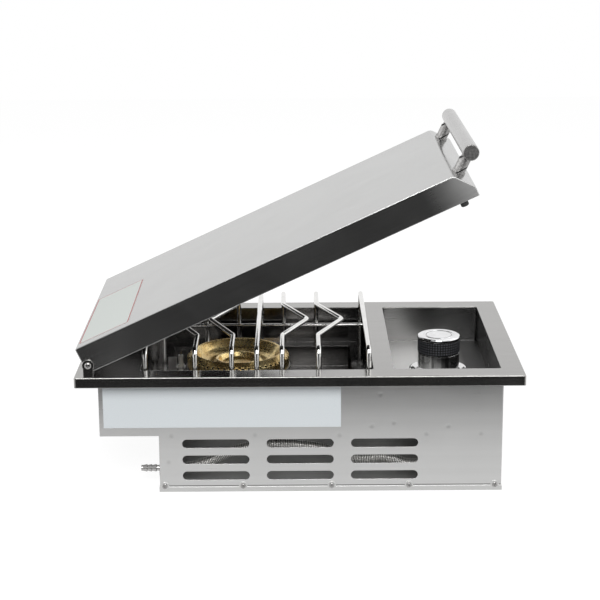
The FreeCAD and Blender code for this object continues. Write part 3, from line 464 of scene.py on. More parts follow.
def paintedBarbShade(tree, place, facing):
    # painted shade: the flange round the barb is darker than the barb
    reach = reachFrom(tree, place, barbFlangeShade["middle"], (1.0, 0.0, 1.0))
    return spread(tree, maths(tree, "GREATER_THAN", reach, barbFlangeShade["reach"]), 1.0, barbFlangeShade["shade"])


# a dent's place is along and up the side sheet, in millimetres
sideDents = {
    "radius": 4.2 * mm, "shade": 0.84, "depth": 0.15, "relief": 0.6 * mm,
    "places": [
        (-95, 121), (-111, 86), (-85, 82), (-176, 81), (-150, 71.7), (-215, 71.6), (54, 71.2),
        (-46.5, 70.5), (153.4, 70.8), (157.5, 37.5),
    ],
}
panSeamShadow = {"z": 7.3 * mm, "half": 0.7 * mm, "solid": 0.5, "shade": 0.30}


def nearestDent(tree, place):
    # nothing in the middle of the nearest spot weld, one outside it
    flat = stretched(tree, place, (0.0, 1.0, 1.0))
    nearest = None
    for y, z in sideDents["places"]:
        found = vectorMaths(tree, "DISTANCE", {0: flat, 1: (0.0, y * mm, z * mm)})["Value"]
        nearest = found if nearest is None else maths(tree, "MINIMUM", nearest, found)
    made = addNode(tree, "ShaderNodeMapRange", interpolation_type="SMOOTHSTEP")
    return feedAll(tree, made, {"From Max": sideDents["radius"], "Value": nearest})[0]


def paintedSideShade(tree, place, facing):
    # painted shade in the faint dents of the spot welds, and a painted shadow along the seam over the pan's
    # flange
    dentShade = spread(tree, nearestDent(tree, place), sideDents["shade"], 1.0)
    seamShadow = darkLine(tree, splitParts(tree, place)["Z"], panSeamShadow["z"], panSeamShadow)
    return maths(tree, "MULTIPLY", dentShade, seamShadow)


def dimpledSide():
    # the outer side sheets show the faint dents of the spot welds that hold the well, bumped and with
    # painted shade in them
    made = brushedSteel("sideSteel", bodySteelLook, paintedSideShade)
    tree = made.node_tree
    normal = tree.nodes["Principled BSDF"].inputs["Normal"]
    dent = nearestDent(tree, addNode(tree, "ShaderNodeTexCoord").outputs["Object"])
    before = normal.links[0].from_socket
    feed(tree, addBump(tree, dent, sideDents, before), normal)
    return made


finishes = {
    "frame_steel": brushedSteel("frameSteel", frameSteelLook),
    "lid_steel": brushedSteel("lidSteel", lidSteelLook, paintedShadeUnderLid, atNose),
    "body_steel": brushedSteel("bodySteel", bodySteelLook),
    "well_steel": brushedSteel("wellSteel", wellSteelLook, paintedWellLightAndShade),
    "tube_steel": brushedSteel("tubeSteel", tubeSteelLook),
    "handle_steel": brushedSteel("handleSteel", handleSteelLook),
    "fastener_steel": brushedSteel("fastenerSteel", fastenerSteelLook),
}
sideSteel = dimpledSide()
postSteel = brushedSteel("postSteel", postSteelLook, onPost)
# finishes of single nodes, where they differ from the rest of their slot
special = {
    "left_side_panel": sideSteel,
    "right_side_panel": sideSteel,
    "left_handle_post": postSteel,
    "right_handle_post": postSteel,
    "handle_end_caps": brushedSteel("capSteel", capSteelLook, mottled),
    "inlet_barb": brushedSteel("barbSteel", barbSteelLook, paintedBarbShade),
    "control_recess": brushedSteel("recessSteel", recessSteelLook, paintedRecessShade, wornFloor(recessShade["worn"])),
    "bottom_pan": brushedSteel("panSteel", panSteelLook, paintedPanShade, wornFloor(panShade["dust"])),
}


# Plated and polished metal

plating = {
    "dark": 0.88, "light": 1.05, "smudge": 60.0, "smudged": 0.6, "bloom": 0.05, "hair": 0.03,
    "lay": (1.0, 1.0, 1.0), "fineness": 1500.0, "detail": 3.0, "edge": 0.3 * mm, "depth": 0.03,
    "relief": 0.1 * mm,
}


def polishedMetal(name, ownLook, shade=None):
    # nearly clean, with hairline marks and a little bloom
    look = {**plating, **ownLook}
    made, tree, shader = newMaterial(name, {"Metallic": 1.0})
    place, facing = partPlace(tree)
    smudge = smudgesOn(tree, place, look)
    edge = placeGroup(tree, softEdge, Radius=look["edge"])
    hair = noise(tree, stretched(tree, place, look["lay"]), look["fineness"], look["detail"])
    clean = maths(tree, "SUBTRACT", 1.0, maths(tree, "MULTIPLY", smudge, look["smudged"]), clamp=True)
    colour = tonedColour(tree, clean, look)
    if shade:
        colour = timesColour(tree, colour, shade(tree, place, facing))
    rough = maths(tree, "MULTIPLY_ADD", smudge, look["bloom"], look["roughness"])
    rough = maths(tree, "MULTIPLY_ADD", hair, look["hair"], rough, clamp=True)
    normal = addBump(tree, hair, look, edge["Rounded"])
    setShader(tree, shader, colour, rough, normal)
    return made


rodChromeLook = {"colour": (0.82, 0.815, 0.80), "roughness": 0.08, "smudge": 45.0}
knobChromeLook = {"colour": (0.80, 0.80, 0.80), "roughness": 0.05}
bezelChromeLook = {"colour": (0.76, 0.76, 0.76), "roughness": 0.08}
capChromeLook = {"colour": (0.80, 0.80, 0.81), "roughness": 0.06}
skirtChromeLook = {
    "colour": (0.86, 0.86, 0.86), "roughness": 0.05, "lay": (1.0, 1.0, 0.02), "fineness": 190.0,
    "depth": 1.0, "relief": 0.7 * mm,
}
knobLow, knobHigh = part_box("knob_cap")
knobMiddle = (knobLow + knobHigh) / 2
skirtReflectionBands = {"count": 4.0, "turn": math.radians(45), "tones": (0.22, 1.0), "span": (0.0, 0.3)}
capGrooveShade = {"radius": 0.60 * (knobHigh.x - knobLow.x) / 2, "half": 0.5 * mm, "solid": 0.6, "shade": 0.25}
capRimShade = {"tones": (0.75, 1.0), "span": (0.3, 0.8)}


def paintedSkirtReflection(tree, place, facing):
    # painted reflection: upright bands of darker and brighter plating colour round the skirt
    away = splitParts(tree, vectorMaths(tree, "SUBTRACT", {0: place, 1: tuple(knobMiddle)})[0])
    turn = maths(tree, "SUBTRACT", maths(tree, "ARCTAN2", away["Y"], away["X"]), skirtReflectionBands["turn"])
    wave = maths(tree, "COSINE", maths(tree, "MULTIPLY", turn, skirtReflectionBands["count"]))
    return spread(tree, wave, *skirtReflectionBands["tones"], *skirtReflectionBands["span"])


def paintedCapShade(tree, place, facing):
    # painted shade: a dark line stands for a turned groove on the knob's cap, and the rim round it, where
    # the faces look sideways, is darker
    reach = reachFrom(tree, place, knobMiddle, (1.0, 1.0, 0.0))
    rimShade = spread(tree, splitParts(tree, facing)["Z"], *capRimShade["tones"], *capRimShade["span"])
    return maths(tree, "MULTIPLY", darkLine(tree, reach, capGrooveShade["radius"], capGrooveShade), rimShade)


finishes["chrome_rod"] = polishedMetal("chromeRod", rodChromeLook)
finishes["knob_chrome"] = polishedMetal("knobChrome", knobChromeLook)
finishes["bezel_chrome"] = polishedMetal("bezelChrome", bezelChromeLook)
special["knob_body"] = polishedMetal("knobSkirtChrome", skirtChromeLook, paintedSkirtReflection)
special["knob_cap"] = polishedMetal("capChrome", capChromeLook, paintedCapShade)


# Brass and iron castings

castWear = {
    "metal": 1.0, "patches": (0.3, 0.7), "wear": 0.5, "pits": (0.55, 1.0), "pitSpan": (0.3, 0.55),
    "pitted": 0.2, "dulling": (0.12, -0.06), "dullSpan": (0.3, 0.7), "edge": 0.6 * mm,
    "relief": 0.6 * mm,
}


def castMetal(name, ownLook, shade=None):
    look = {**castWear, **ownLook}
    made, tree, shader = newMaterial(name, {"Metallic": look["metal"]})
    place, facing = partPlace(tree)
    skin = placeGroup(tree, castSkin, Place=place, Size=look["grain"])
    edge = placeGroup(tree, softEdge, Radius=look["edge"])
    tone = spread(tree, skin["Patches"], 0.0, 1.0, *look["patches"])
    tone = maths(tree, "ADD", tone, maths(tree, "MULTIPLY", edge["Edge"], look["wear"]), clamp=True)
    colour = mixColour(tree, tone, opaque(look["dull"]), opaque(look["bright"]))
    pits = spread(tree, skin["Pits"], *look["pits"], *look["pitSpan"])
    colour = timesColour(tree, colour, spread(tree, pits, look["pitted"], 1.0))
    if shade:
        colour = timesColour(tree, colour, shade(tree, place, facing))
    low, high = [look["roughness"] + part for part in look["dulling"]]
    rough = spread(tree, skin["Pits"], low, high, *look["dullSpan"])
    normal = addBump(tree, skin["Pits"], look, edge["Rounded"])
    setShader(tree, shader, colour, rough, normal)
    return made


burnerBrassLook = {
    "dull": (0.64, 0.40, 0.13), "bright": (1.0, 0.82, 0.42), "roughness": 0.23, "grain": 300.0,
    "depth": 0.02, "edge": 0.3 * mm, "metal": 0.93, "pitted": 0.6,
}
valveBrassLook = {
    "dull": (0.46, 0.34, 0.14), "bright": (0.76, 0.60, 0.30), "roughness": 0.30, "grain": 900.0,
    "depth": 0.15,
}
castingLook = {
    "dull": (0.20, 0.20, 0.20), "bright": (0.42, 0.42, 0.41), "roughness": 0.46, "grain": 600.0,
    "depth": 0.4,
}
sootShade = 0.02


def ownValue(tree, title):
    # a value that a finer piece's own points carry
    return addNode(tree, "ShaderNodeAttribute", attribute_name=title).outputs["Fac"]


def sootyPorts(tree, place, facing):
    # soot in each flame port, told by the burner head's own soot values
    return spread(tree, ownValue(tree, "soot"), 1.0, sootShade)


finishes["burner_brass"] = castMetal("burnerBrass", burnerBrassLook, sootyPorts)
finishes["valve_brass"] = castMetal("valveBrass", valveBrassLook)
finishes["casting"] = castMetal("castIron", castingLook)


# The gas line's steel, with bright crests and painted shade in its dark grooves

ribbedLook = {
    "crest": (1.0, 0.99, 0.97), "grooveShade": (0.01, 0.01, 0.01), "metal": 0.9, "roughness": 0.30,
    "falloff": 2.0, "smudge": 60.0, "smudged": 0.10, "grooved": 0.25, "skin": (1800.0, 3.0),
    "depth": 0.05, "relief": 0.1 * mm,
}


def ribbedMetal(name, look):
    # painted shade in the grooves: crests and grooves are told apart by the line's own groove values
    made, tree, shader = newMaterial(name, {"Metallic": look["metal"]})
    place = partPlace(tree)[0]
    smudge = smudgesOn(tree, place, look)
    grooveShade = ownValue(tree, "grooveShade")
    depth = maths(tree, "POWER", grooveShade, look["falloff"])
    colour = mixColour(tree, depth, opaque(look["crest"]), opaque(look["grooveShade"]))
    rough = maths(tree, "MULTIPLY_ADD", smudge, look["smudged"], look["roughness"])
    rough = maths(tree, "MULTIPLY_ADD", grooveShade, look["grooved"], rough)
    normal = addBump(tree, noise(tree, place, *look["skin"]), look)
    setShader(tree, shader, colour, rough, normal)
    return made


finishes["ribbed_steel"] = ribbedMetal("ribbedSteel", ribbedLook)


# Mouldings, rubber, ceramic and stickers

moulding = {
    "dark": 0.85, "light": 1.1, "wear": 0.3, "grain": 2200.0, "detail": 3.0, "grained": 0.7,
    "smudge": 80.0, "smudged": 0.08, "ior": 1.5, "edge": 0.3 * mm, "depth": 0.08, "relief": 0.2 * mm,
}


def moulded(name, ownLook):
    look = {**moulding, **ownLook}
    made, tree, shader = newMaterial(name, {"Metallic": 0.0, "IOR": look["ior"]})
    place = partPlace(tree)[0]
    smudge = smudgesOn(tree, place, look)
    edge = placeGroup(tree, softEdge, Radius=look["edge"])
    skin = noise(tree, place, look["grain"], look["detail"])
    grained = maths(tree, "MULTIPLY", skin, look["grained"])
    tone = maths(tree, "MULTIPLY_ADD", edge["Edge"], look["wear"], grained, clamp=True)
    colour = tonedColour(tree, tone, look)
    rough = maths(tree, "MULTIPLY_ADD", smudge, look["smudged"], look["roughness"])
    normal = addBump(tree, skin, look, edge["Rounded"])
    setShader(tree, shader, colour, rough, normal)
    return made


mouldings = {
    "knob_black": ("knobBlack", {"colour": (0.012, 0.012, 0.013), "roughness": 0.34}),
    "black_rubber": ("blackRubber", {"colour": (0.022, 0.022, 0.022), "roughness": 0.6, "depth": 0.2}),
    "white_ceramic": ("whiteCeramic", {"colour": (0.80, 0.78, 0.72), "roughness": 0.22, "wear": 0.1}),
    "plain_label": ("plainLabel", {"colour": (0.88, 0.95, 1.0), "roughness": 0.42, "grain": 900.0}),
}
for slot, (title, look) in mouldings.items():
    finishes[slot] = moulded(title, look)

# the high colour is the painted highlight of the raised bumps
gripLook = {
    "low": (0.001, 0.001, 0.001), "high": (0.055, 0.057, 0.064), "dull": 0.80, "gloss": 0.15,
    "sheen": 0.25, "smudge": 80.0, "smudged": 0.06, "skin": (2200.0, 3.0), "depth": 0.05,
    "relief": 0.1 * mm,
}


def knurledRubber(name, look):
    # black rubber whose raised bumps are polished glossy by fingers and carry a painted highlight in a
    # lighter bluish colour, told by the grip's own raised values
    made, tree, shader = newMaterial(name, {"Metallic": 0.0, "Specular IOR Level": look["sheen"]})
    place = partPlace(tree)[0]
    smudge = smudgesOn(tree, place, look)
    raised = ownValue(tree, "raised")
    colour = mixColour(tree, raised, opaque(look["low"]), opaque(look["high"]))
    rough = spread(tree, raised, look["dull"], look["gloss"])
    rough = maths(tree, "MULTIPLY_ADD", smudge, look["smudged"], rough)
    normal = addBump(tree, noise(tree, place, *look["skin"]), look)
    setShader(tree, shader, colour, rough, normal)
    return made


gripRubber = knurledRubber("gripRubber", gripLook)

stickerLook = {
    "paper": (0.60, 0.64, 0.61), "ink": (0.34, 0.02, 0.03), "inset": 1.1 * mm, "line": 1.6 * mm,
    "light": 1.06, "fibre": (800.0, 3.0), "roughness": (0.32, 0.42), "depth": 0.04, "relief": 0.1 * mm,
}


def borderedSticker(name, look, node):
    # a blank pale sticker with a thin printed border, laid out on the sloping lid
    made, tree, shader = newMaterial(name, {"Metallic": 0.0})
    place = partPlace(tree, lidAngle)[0]
    spot = splitParts(tree, place)
    low, high = lidBox(node)
    fromEdge = None
    for axis in range(2):
        away = maths(tree, "SUBTRACT", spot[axis], (low[axis] + high[axis]) / 2)
        inside = maths(tree, "SUBTRACT", (high[axis] - low[axis]) / 2, maths(tree, "ABSOLUTE", away))
        fromEdge = inside if fromEdge is None else maths(tree, "MINIMUM", fromEdge, inside)
    line = maths(tree, "COMPARE", fromEdge, look["inset"], look["line"] / 2)
    fibre = noise(tree, place, *look["fibre"])
    pale = mixColour(tree, fibre, opaque(look["paper"]), opaque(look["paper"], look["light"]))
    colour = mixColour(tree, line, pale, opaque(look["ink"]))
    normal = addBump(tree, fibre, look)
    setShader(tree, shader, colour, spread(tree, fibre, *look["roughness"]), normal)
    return made


finishes["plain_sticker"] = borderedSticker("plainSticker", stickerLook, "lid_label")

for node, piece in cadNodes.items():
    for place in piece.material_slots:
        if node in special:
            place.material = special[node]
        elif place.material.name in finishes:
            place.material = finishes[place.material.name]
print("finishes set on the frame")


# Finer pieces that stand for plain ones

weld = 0.005 * mm


def newPiece(name, body, finish):
    mesh = bpy.data.meshes.new(name)
    made = newObject(name, mesh)
    mesh.materials.append(finish)
    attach(made, body)
    return made


def finishMesh(piece, shape, smoothBelow):
    # closes doubled points, turns faces outward and shades by angle
    bmesh.ops.remove_doubles(shape, verts=shape.verts, dist=weld)
    bmesh.ops.recalc_face_normals(shape, faces=shape.faces)
    for face in shape.faces:
        face.smooth = True
    for edge in shape.edges:
        if len(edge.link_faces) == 2 and edge.calc_face_angle() > math.radians(smoothBelow):
            edge.smooth = False
    shape.to_mesh(piece.data)
    shape.free()


def pointsOf(parts):
    return list({vertex for part in parts for vertex in part.verts})


def ringOf(shape, segments, radius):
    made = bmesh.ops.create_circle(shape, cap_ends=False, segments=segments, radius=radius)["verts"]
    return [edge for edge in shape.edges if edge.verts[0] in made and edge.verts[1] in made]


def extrudeRing(shape, edges, move=(0, 0, 0), size=1.0):
    made = bmesh.ops.extrude_edge_only(shape, edges=edges)["geom"]
    points = [part for part in made if isinstance(part, bmesh.types.BMVert)]
    if size != 1.0:
        bmesh.ops.scale(shape, vec=(size, size, 1.0), verts=points)
    if any(move):
        bmesh.ops.translate(shape, vec=move, verts=points)
    return [part for part in made if isinstance(part, bmesh.types.BMEdge)]


knobGrip = {
    "rows": 5, "columns": 48, "bump": 0.7 * mm, "lift": 0.85, "gap": 0.60 * mm, "slope": 0.35 * mm,
    "wall": 3.2 * mm, "border": 0.2, "outer": 0.99, "alike": 0.2, "smoothBelow": 75.0,
}


def addKnobGrip(values):
    low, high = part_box("knob_grip")
    radius = (high.x - low.x) / 2 - values["bump"]
    rows, columns = values["rows"], values["columns"]
    step = (high.z - low.z) / (rows + 2 * values["border"])
    shape = bmesh.new()
    raised = shape.verts.layers.float.new("raised")
    edges = ringOf(shape, columns, radius)
    bottom = list(edges)
    for height in [values["border"]] + [1.0] * rows + [values["border"]]:
        edges = extrudeRing(shape, edges, (0, 0, height * step))
    edges = extrudeRing(shape, edges, size=(radius - values["wall"]) / radius)
    edges = extrudeRing(shape, edges, (0, 0, low.z - high.z))
    bmesh.ops.bridge_loops(shape, edges=edges + bottom)
    cell = step * 2 * math.pi * radius / columns
    outerReach = values["outer"] * radius * math.cos(math.pi / columns)
    bumps = []
    for face in shape.faces:
        outer = face.calc_center_median().xy.length > outerReach
        if outer and abs(face.calc_area() - cell) < values["alike"] * cell:
            bumps.append(face)
    bmesh.ops.recalc_face_normals(shape, faces=shape.faces)
    bmesh.ops.inset_individual(shape, faces=bumps, thickness=values["gap"], depth=0.0)
    lift = values["bump"] * values["lift"]
    bmesh.ops.inset_individual(shape, faces=bumps, thickness=values["slope"], depth=lift)
    for vertex in pointsOf(bumps):
        vertex[raised] = 1.0
    bmesh.ops.translate(shape, vec=((low.x + high.x) / 2, (low.y + high.y) / 2, low.z), verts=shape.verts)
    piece = newPiece("knurledGrip", "knob", gripRubber)
    finishMesh(piece, shape, values["smoothBelow"])
    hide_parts("knob_grip")


# the route is the gas line's middle in millimetres, as the plain line has it
# the swell is each rib's own outline, from its crest down to the groove and up again
flexLine = {
    "route": [
        (-122, 148.7, 18.8), (-122, 126.7, 18.8), (-122, 62, 50), (-122, -20, 47), (-122, -66, 27),
        (-122, -104, 33), (-122, -140, 17), (-84, -176.2, 28), (-37, -176.2, 28),
    ],
    "crest": 6.3 * mm, "root": 5.1 * mm, "pitch": 2.1 * mm, "cuff": 12.0 * mm, "segments": 20,
    "swell": (1.0, 0.55, 0.0, 0.55), "order": 3, "resolution": 40, "smoothBelow": 60.0,
}


def smoothRoute(points, order, resolution):
    # the places along one smooth spline that follows the route's own points
    curve = bpy.data.curves.new("route", "CURVE")
    curve.dimensions = "3D"
    line = curve.splines.new("NURBS")
    line.points.add(len(points) - 1)
    for place, point in zip(line.points, points):
        place.co = (point[0] * mm, point[1] * mm, point[2] * mm, 1.0)
    line.order_u = order
    line.use_endpoint_u = True
    curve.resolution_u = resolution
    holder = newObject("route", curve)
    bpy.context.view_layer.update()
    mesh = bpy.data.meshes.new_from_object(holder)
    places = [vertex.co.copy() for vertex in mesh.vertices]
    bpy.data.objects.remove(holder)
    bpy.data.meshes.remove(mesh)
    return places


def walkRoute(places, step):
    # evenly spaced places and headings along the line
    reached, wanted, spots = 0.0, 0.0, []
    for first, second in zip(places, places[1:]):
        length = (second - first).length
        while length > 0 and wanted <= reached + length:
            spots.append((first.lerp(second, (wanted - reached) / length), (second - first).normalized()))
            wanted += step
        reached += length
    return spots, reached


def addFlexLine(values):
    swell = values["swell"]
    step = values["pitch"] / len(swell)
    places = smoothRoute(values["route"], values["order"], values["resolution"])
    spots, total = walkRoute(places, step)
    shape = bmesh.new()
    # the groove values mark where the painted shade of the grooves goes
    depth = shape.verts.layers.float.new("grooveShade")
    edges = ringOf(shape, values["segments"], 1.0)
    last = Matrix.Identity(4)
    for count, (place, heading) in enumerate(spots):
        ribbed = values["cuff"] < count * step < total - values["cuff"]
        lift = swell[count % len(swell)] if ribbed else 0.0
        radius = values["root"] + lift * (values["crest"] - values["root"])
        side = Vector((0, 0, 1)).cross(heading).normalized()
        turn = Matrix((side, heading.cross(side), heading)).transposed().to_4x4()
        here = Matrix.Translation(place) @ turn @ Matrix.Diagonal((radius, radius, 1.0, 1.0))
        if count:
            edges = extrudeRing(shape, edges)
        points = pointsOf(edges)
        for vertex in points:
            vertex[depth] = 1.0 - lift if ribbed else 0.0
        bmesh.ops.transform(shape, matrix=here @ last.inverted(), verts=points)
        last = here
    bmesh.ops.holes_fill(shape, edges=[edge for edge in shape.edges if edge.is_boundary], sides=0)
    piece = newPiece("ribbedLine", "frame", finishes["ribbed_steel"])
    finishMesh(piece, shape, values["smoothBelow"])
    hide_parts("flex_line")
    print("ribbed line:", round(total / mm, 1), "mm,", len(spots) // len(swell), "ribs")


def islandBoxes(node):
    # the box of each separate solid in a node that holds several
    copy = bmesh.new()
    copy.from_mesh(cadNodes[node].data)
    bmesh.ops.remove_doubles(copy, verts=copy.verts, dist=2 * weld)
    left, boxes = set(copy.verts), []
    while left:
        reached = [left.pop()]
        island = list(reached)
        while reached:
            for vertex in pointsOf(reached.pop().link_edges):
                if vertex in left:
                    left.remove(vertex)
                    reached.append(vertex)
                    island.append(vertex)
        boxes.append(boxOf([vertex.co for vertex in island]))
    copy.free()
    return boxes


# each step of the dome is its size against the ring below and its share of the head's height
headShape = {
    "segments": 24, "dome": ((1.0, 0.35), (0.93, 0.27), (0.80, 0.20), (0.66, 0.10), (0.40, 0.05)),
    "top": 0.93, "arm": 15, "middle": 0.2 * mm, "slope": 0.12 * mm, "smoothBelow": 35.0,
}


def crossHead(shape, seat, outward, values):
    # a domed head with a cross recess, its seat at the place and its top outward
    local = bmesh.new()
    edges = ringOf(local, headShape["segments"], values["radius"])
    for size, lift in headShape["dome"]:
        edges = extrudeRing(local, edges, (0, 0, lift * values["height"]), size)
    bmesh.ops.holes_fill(local, edges=edges, sides=0)
    arms = []
    for face in local.faces:
        centre = face.calc_center_median()
        turn = math.degrees(math.atan2(centre.y, centre.x)) % 90
        onTop = centre.z > headShape["top"] * values["height"]
        central = centre.xy.length < headShape["middle"]
        if onTop and (central or turn < headShape["arm"] or turn > 90 - headShape["arm"]):
            arms.append(face)
    bmesh.ops.recalc_face_normals(local, faces=local.faces)
    bmesh.ops.inset_region(local, faces=arms, thickness=headShape["slope"], depth=-values["recess"])
    upright = Vector(outward).to_track_quat("Z", "Y").to_matrix().to_4x4()
    bmesh.ops.transform(local, matrix=Matrix.Translation(seat) @ upright, verts=local.verts)
    loose = bpy.data.meshes.new("looseHead")
    local.to_mesh(loose)
    local.free()
    shape.from_mesh(loose)
    bpy.data.meshes.remove(loose)


panScrews = {"radius": 3.2 * mm, "height": 1.8 * mm, "recess": 0.9 * mm, "sideBand": 8 * mm}


def addPanScrews(values):
    shape = bmesh.new()
    side = abs(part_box("left_side_panel")[0].x)
    for low, high in islandBoxes("pan_screws"):
        middle = (low + high) / 2
        axis = 0 if abs(middle.x) > side - values["sideBand"] else 1
        outward = Vector((0, 0, 0))
        outward[axis] = math.copysign(1, middle[axis])
        seat = middle.copy()
        seat[axis] = high[axis] if middle[axis] > 0 else low[axis]
        crossHead(shape, seat - outward * values["height"], outward, values)
    piece = newPiece("crossHeadScrews", "frame", finishes["fastener_steel"])
    finishMesh(piece, shape, headShape["smoothBelow"])
    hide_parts("pan_screws")


pivotScrews = {
    "radius": 4.1 * mm, "height": 2.6 * mm, "recess": 1.3 * mm, "shank": 2.4 * mm, "segments": 20,
}


def addPivotScrews(values):
    shape = bmesh.new()
    for low, high in islandBoxes("pivot_screws"):
        middle = (low + high) / 2
        outward = Vector((math.copysign(1, middle.x), 0, 0))
        outer = high.x if middle.x > 0 else low.x
        seat = Vector((outer, middle.y, middle.z)) - outward * values["height"]
        crossHead(shape, seat, outward, {**values, "radius": min(values["radius"], (high.z - low.z) / 2)})
        length = high.x - low.x - values["height"]
        upright = outward.to_track_quat("Z", "Y").to_matrix().to_4x4()
        place = Matrix.Translation(seat - outward * length / 2) @ upright
        bmesh.ops.create_cone(shape, cap_ends=True, segments=values["segments"], radius1=values["shank"],
                              radius2=values["shank"], depth=length, matrix=place)
    piece = newPiece("crossHeadPivots", "frame", finishes["fastener_steel"])
    finishMesh(piece, shape, headShape["smoothBelow"])
    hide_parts("pivot_screws")


# outline points are reach from the axis, height over the seat and rounding, in millimetres
burnerHead = {
    "outline": [
        (0, 2.5, 0), (22.0, 2.5, 2.0), (25.0, 9.5, 0.8), (27.8, 9.5, 0.8), (35.0, 4.5, 4.0),
        (46.6, 8.0, 3.0), (53.2, 18.2, 0.6), (55.6, 19.0, 0.6), (62.0, 14.4, 0), (64.3, 12.5, 0),
        (64.7, 10.8, 0), (64.7, 0, 0.3), (61.7, 0, 0.3), (61.7, 9.4, 0.5), (54.6, 14.8, 0.5),
        (48.6, 5.0, 1.0), (35.0, 1.5, 1.0), (27.0, 0, 0), (0, 0, 0),
    ],
    "roundSteps": 4, "roundShare": 0.45, "ports": 52, "perPort": 4, "portBand": (10.8 * mm, 14.4 * mm),
    "portReach": 62.4 * mm, "portRadius": 1.5 * mm, "portInset": 0.3 * mm, "portMiddle": 0.5 * mm,
    "lips": (0.25 * mm, 0.1 * mm), "portDepth": 2.4 * mm, "smoothBelow": 30.0,
}


def roundedOutline(points, steps, share):
    # each corner with a rounding becomes a short curve between its two sides
    made = []
    for count, (reach, height, rounding) in enumerate(points):
        here = Vector((reach, 0, height)) * mm
        if not rounding:
            made.append(here)
            continue
        sides = []
        for other in (points[count - 1], points[(count + 1) % len(points)]):
            along = Vector((other[0], 0, other[1])) * mm - here
            sides.append(here + along.normalized() * min(rounding * mm, share * along.length))
        for step in range(steps + 1):
            part = step / steps
            made.append(sides[0].lerp(here, part).lerp(here.lerp(sides[1], part), part))
    return made


def portFaces(shape, values):
    # the faces of the sloping crown that each port takes, by the port's number
    share = 2 * math.pi / (values["ports"] * values["perPort"])
    low, high = values["portBand"]
    found = {}
    for face in shape.faces:
        centre = face.calc_center_median()
        if low < centre.z < high and centre.xy.length > values["portReach"]:
            segment = int(math.floor(math.atan2(centre.y, centre.x) % (2 * math.pi) / share))
            if segment % values["perPort"] in (0, values["perPort"] - 1):
                found.setdefault((segment + 1) // values["perPort"] % values["ports"], []).append(face)
    return found


def openPort(shape, soot, faces, angle, values):
    # rounds the port's rim, then sinks it with sooty walls
    outward = Vector((math.cos(angle), math.sin(angle), 0))
    aside = Vector((-outward.y, outward.x, 0))
    bmesh.ops.inset_region(shape, faces=faces, thickness=values["portInset"], depth=0.0)
    points = pointsOf(faces)
    centre = sum((vertex.co for vertex in points), Vector()) / len(points)
    for vertex in points:
        offset = vertex.co - centre
        flat = Vector((offset.dot(aside), offset.z))
        if flat.length > values["portMiddle"]:
            flat = flat.normalized() * values["portRadius"] - flat
            vertex.co += aside * flat.x + Vector((0, 0, flat.y))
    for depth in values["lips"]:
        bmesh.ops.inset_region(shape, faces=faces, thickness=0.0, depth=-depth)
        for vertex in pointsOf(faces):
            vertex[soot] = 1.0
    bmesh.ops.translate(shape, vec=-outward * values["portDepth"], verts=pointsOf(faces))


def addBurnerHead(values):
    low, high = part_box("burner_head")
    middle = Vector(((low.x + high.x) / 2, (low.y + high.y) / 2, low.z))
    shape = bmesh.new()
    soot = shape.verts.layers.float.new("soot")
    outline = roundedOutline(values["outline"], values["roundSteps"], values["roundShare"])
    points = [shape.verts.new(place) for place in outline]
    for first, second in zip(points, points[1:]):
        shape.edges.new((first, second))
    bmesh.ops.spin(shape, geom=shape.verts[:] + shape.edges[:], axis=(0, 0, 1), cent=(0, 0, 0),
                   angle=2 * math.pi, steps=values["ports"] * values["perPort"], use_duplicate=False)
    bmesh.ops.remove_doubles(shape, verts=shape.verts, dist=weld)
    bmesh.ops.recalc_face_normals(shape, faces=shape.faces)
    found = portFaces(shape, values)
    for port, faces in found.items():
        openPort(shape, soot, faces, 2 * math.pi * port / values["ports"], values)
    bmesh.ops.translate(shape, vec=middle, verts=shape.verts)
    piece = newPiece("portedHead", "burner_head", finishes["burner_brass"])
    finishMesh(piece, shape, values["smoothBelow"])
    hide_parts("burner_head")
    print("burner head:", len(found), "ports,", len(piece.data.polygons), "faces")


addKnobGrip(knobGrip)
addFlexLine(flexLine)
addPanScrews(panScrews)
addPivotScrews(pivotScrews)
addBurnerHead(burnerHead)
print("finer pieces made")


# Floor, room and lamps

floorSheet = {
    "low": (-0.46, -3.0), "high": (3.2, 3.0), "z": -0.5 * mm, "colour": (0.22, 0.22, 0.22), "seen": 0.88,
    "mirrored": 0.80,
}


def addFloor(values):
    mesh = bpy.data.meshes.new("floor")
    made = newObject("floor", mesh)
    sheet = bmesh.new()
    bmesh.ops.create_grid(sheet, x_segments=1, y_segments=1, size=1.0)
    for vertex in sheet.verts:
        vertex.co.x = values["low"][0] if vertex.co.x < 0 else values["high"][0]
        vertex.co.y = values["low"][1] if vertex.co.y < 0 else values["high"][1]
        vertex.co.z = values["z"]
    sheet.to_mesh(mesh)
    sheet.free()
    material = bpy.data.materials.new("paleFloor")
    material.use_nodes = True
    tree = material.node_tree
    tree.nodes.clear()
    matt = addNode(tree, "ShaderNodeBsdfDiffuse")
    feed(tree, opaque(values["colour"]), matt.inputs["Color"])
    glow = addNode(tree, "ShaderNodeEmission")
    rays = addNode(tree, "ShaderNodeLightPath").outputs
    seen = maths(tree, "ADD", rays["Is Camera Ray"], rays["Is Transmission Ray"])
    mirrored = maths(tree, "MULTIPLY", rays["Is Glossy Ray"], values["mirrored"])
    feed(tree, maths(tree, "MULTIPLY_ADD", seen, values["seen"], mirrored), glow.inputs["Strength"])
    both = addNode(tree, "ShaderNodeAddShader")
    feed(tree, matt.outputs[0], both.inputs[0])
    feed(tree, glow.outputs[0], both.inputs[1])
    feed(tree, both.outputs[0], addNode(tree, "ShaderNodeOutputMaterial").inputs["Surface"])
    mesh.materials.append(material)


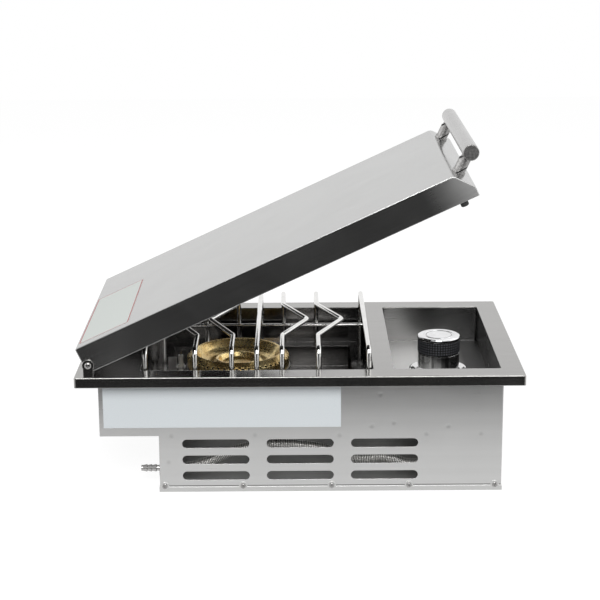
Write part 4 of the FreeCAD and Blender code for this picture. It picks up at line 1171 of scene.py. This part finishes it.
# mirrored strengths are the darkest and the brightest; spans are parts of the way a ray goes
room = {
    "lit": 0.45, "seen": 1.0, "mirrored": (0.035, 0.95), "behind": (-0.92, -0.60), "above": (0.28, 0.40),
    "sides": (0.70, 0.85), "raised": (0.05, 0.15),
}


def addRoom(values):
    # white where it is seen, grey where it lights, and dark behind the camera where metal mirrors it
    world = bpy.data.worlds.new("studio")
    bpy.context.scene.world = world
    world.use_nodes = True
    tree = world.node_tree
    tree.nodes.clear()
    rays = addNode(tree, "ShaderNodeLightPath").outputs
    way = splitParts(tree, addNode(tree, "ShaderNodeTexCoord").outputs["Generated"])
    behind = spread(tree, way["X"], *values["mirrored"], *values["behind"])
    above = spread(tree, way["Z"], *values["mirrored"], *values["above"])
    sides = spread(tree, maths(tree, "ABSOLUTE", way["Y"]), 0.0, 1.0, *values["sides"])
    raised = spread(tree, way["Z"], 0.0, 1.0, *values["raised"])
    mirrored = maths(tree, "MULTIPLY_ADD", sides, raised, maths(tree, "MAXIMUM", behind, above))
    unseen = blendValues(tree, rays["Is Glossy Ray"], values["lit"], mirrored)
    seen = maths(tree, "ADD", rays["Is Camera Ray"], rays["Is Transmission Ray"], clamp=True)
    shade = addNode(tree, "ShaderNodeBackground")
    feed(tree, (1.0, 1.0, 1.0, 1.0), shade.inputs["Color"])
    feed(tree, blendValues(tree, seen, unseen, values["seen"]), shade.inputs["Strength"])
    feed(tree, shade.outputs[0], addNode(tree, "ShaderNodeOutputWorld").inputs["Surface"])


# each lamp is its place, its target, its width and height, and its power
lamps = {
    "overheadLamp": ((0.25, 0.0, 1.7), (0.0, 0.0, 0.1), (2.4, 2.4), 9.0),
    "cameraSideLamp": ((-2.4, 0.0, 1.9), (0.0, 0.0, 0.1), (1.5, 1.5), 47.0),
}


def addLamp(name, place, target, size, power):
    data = bpy.data.lights.new(name, "AREA")
    data.shape = "RECTANGLE"
    data.size, data.size_y = size
    data.energy = power
    made = newObject(name, data)
    aim = (Vector(target) - Vector(place)).to_track_quat("-Z", "Y").to_matrix().to_4x4()
    made.matrix_world = Matrix.Translation(place) @ aim


addFloor(floorSheet)
addRoom(room)
for name, values in lamps.items():
    addLamp(name, *values)
print("floor, room and lamps set")
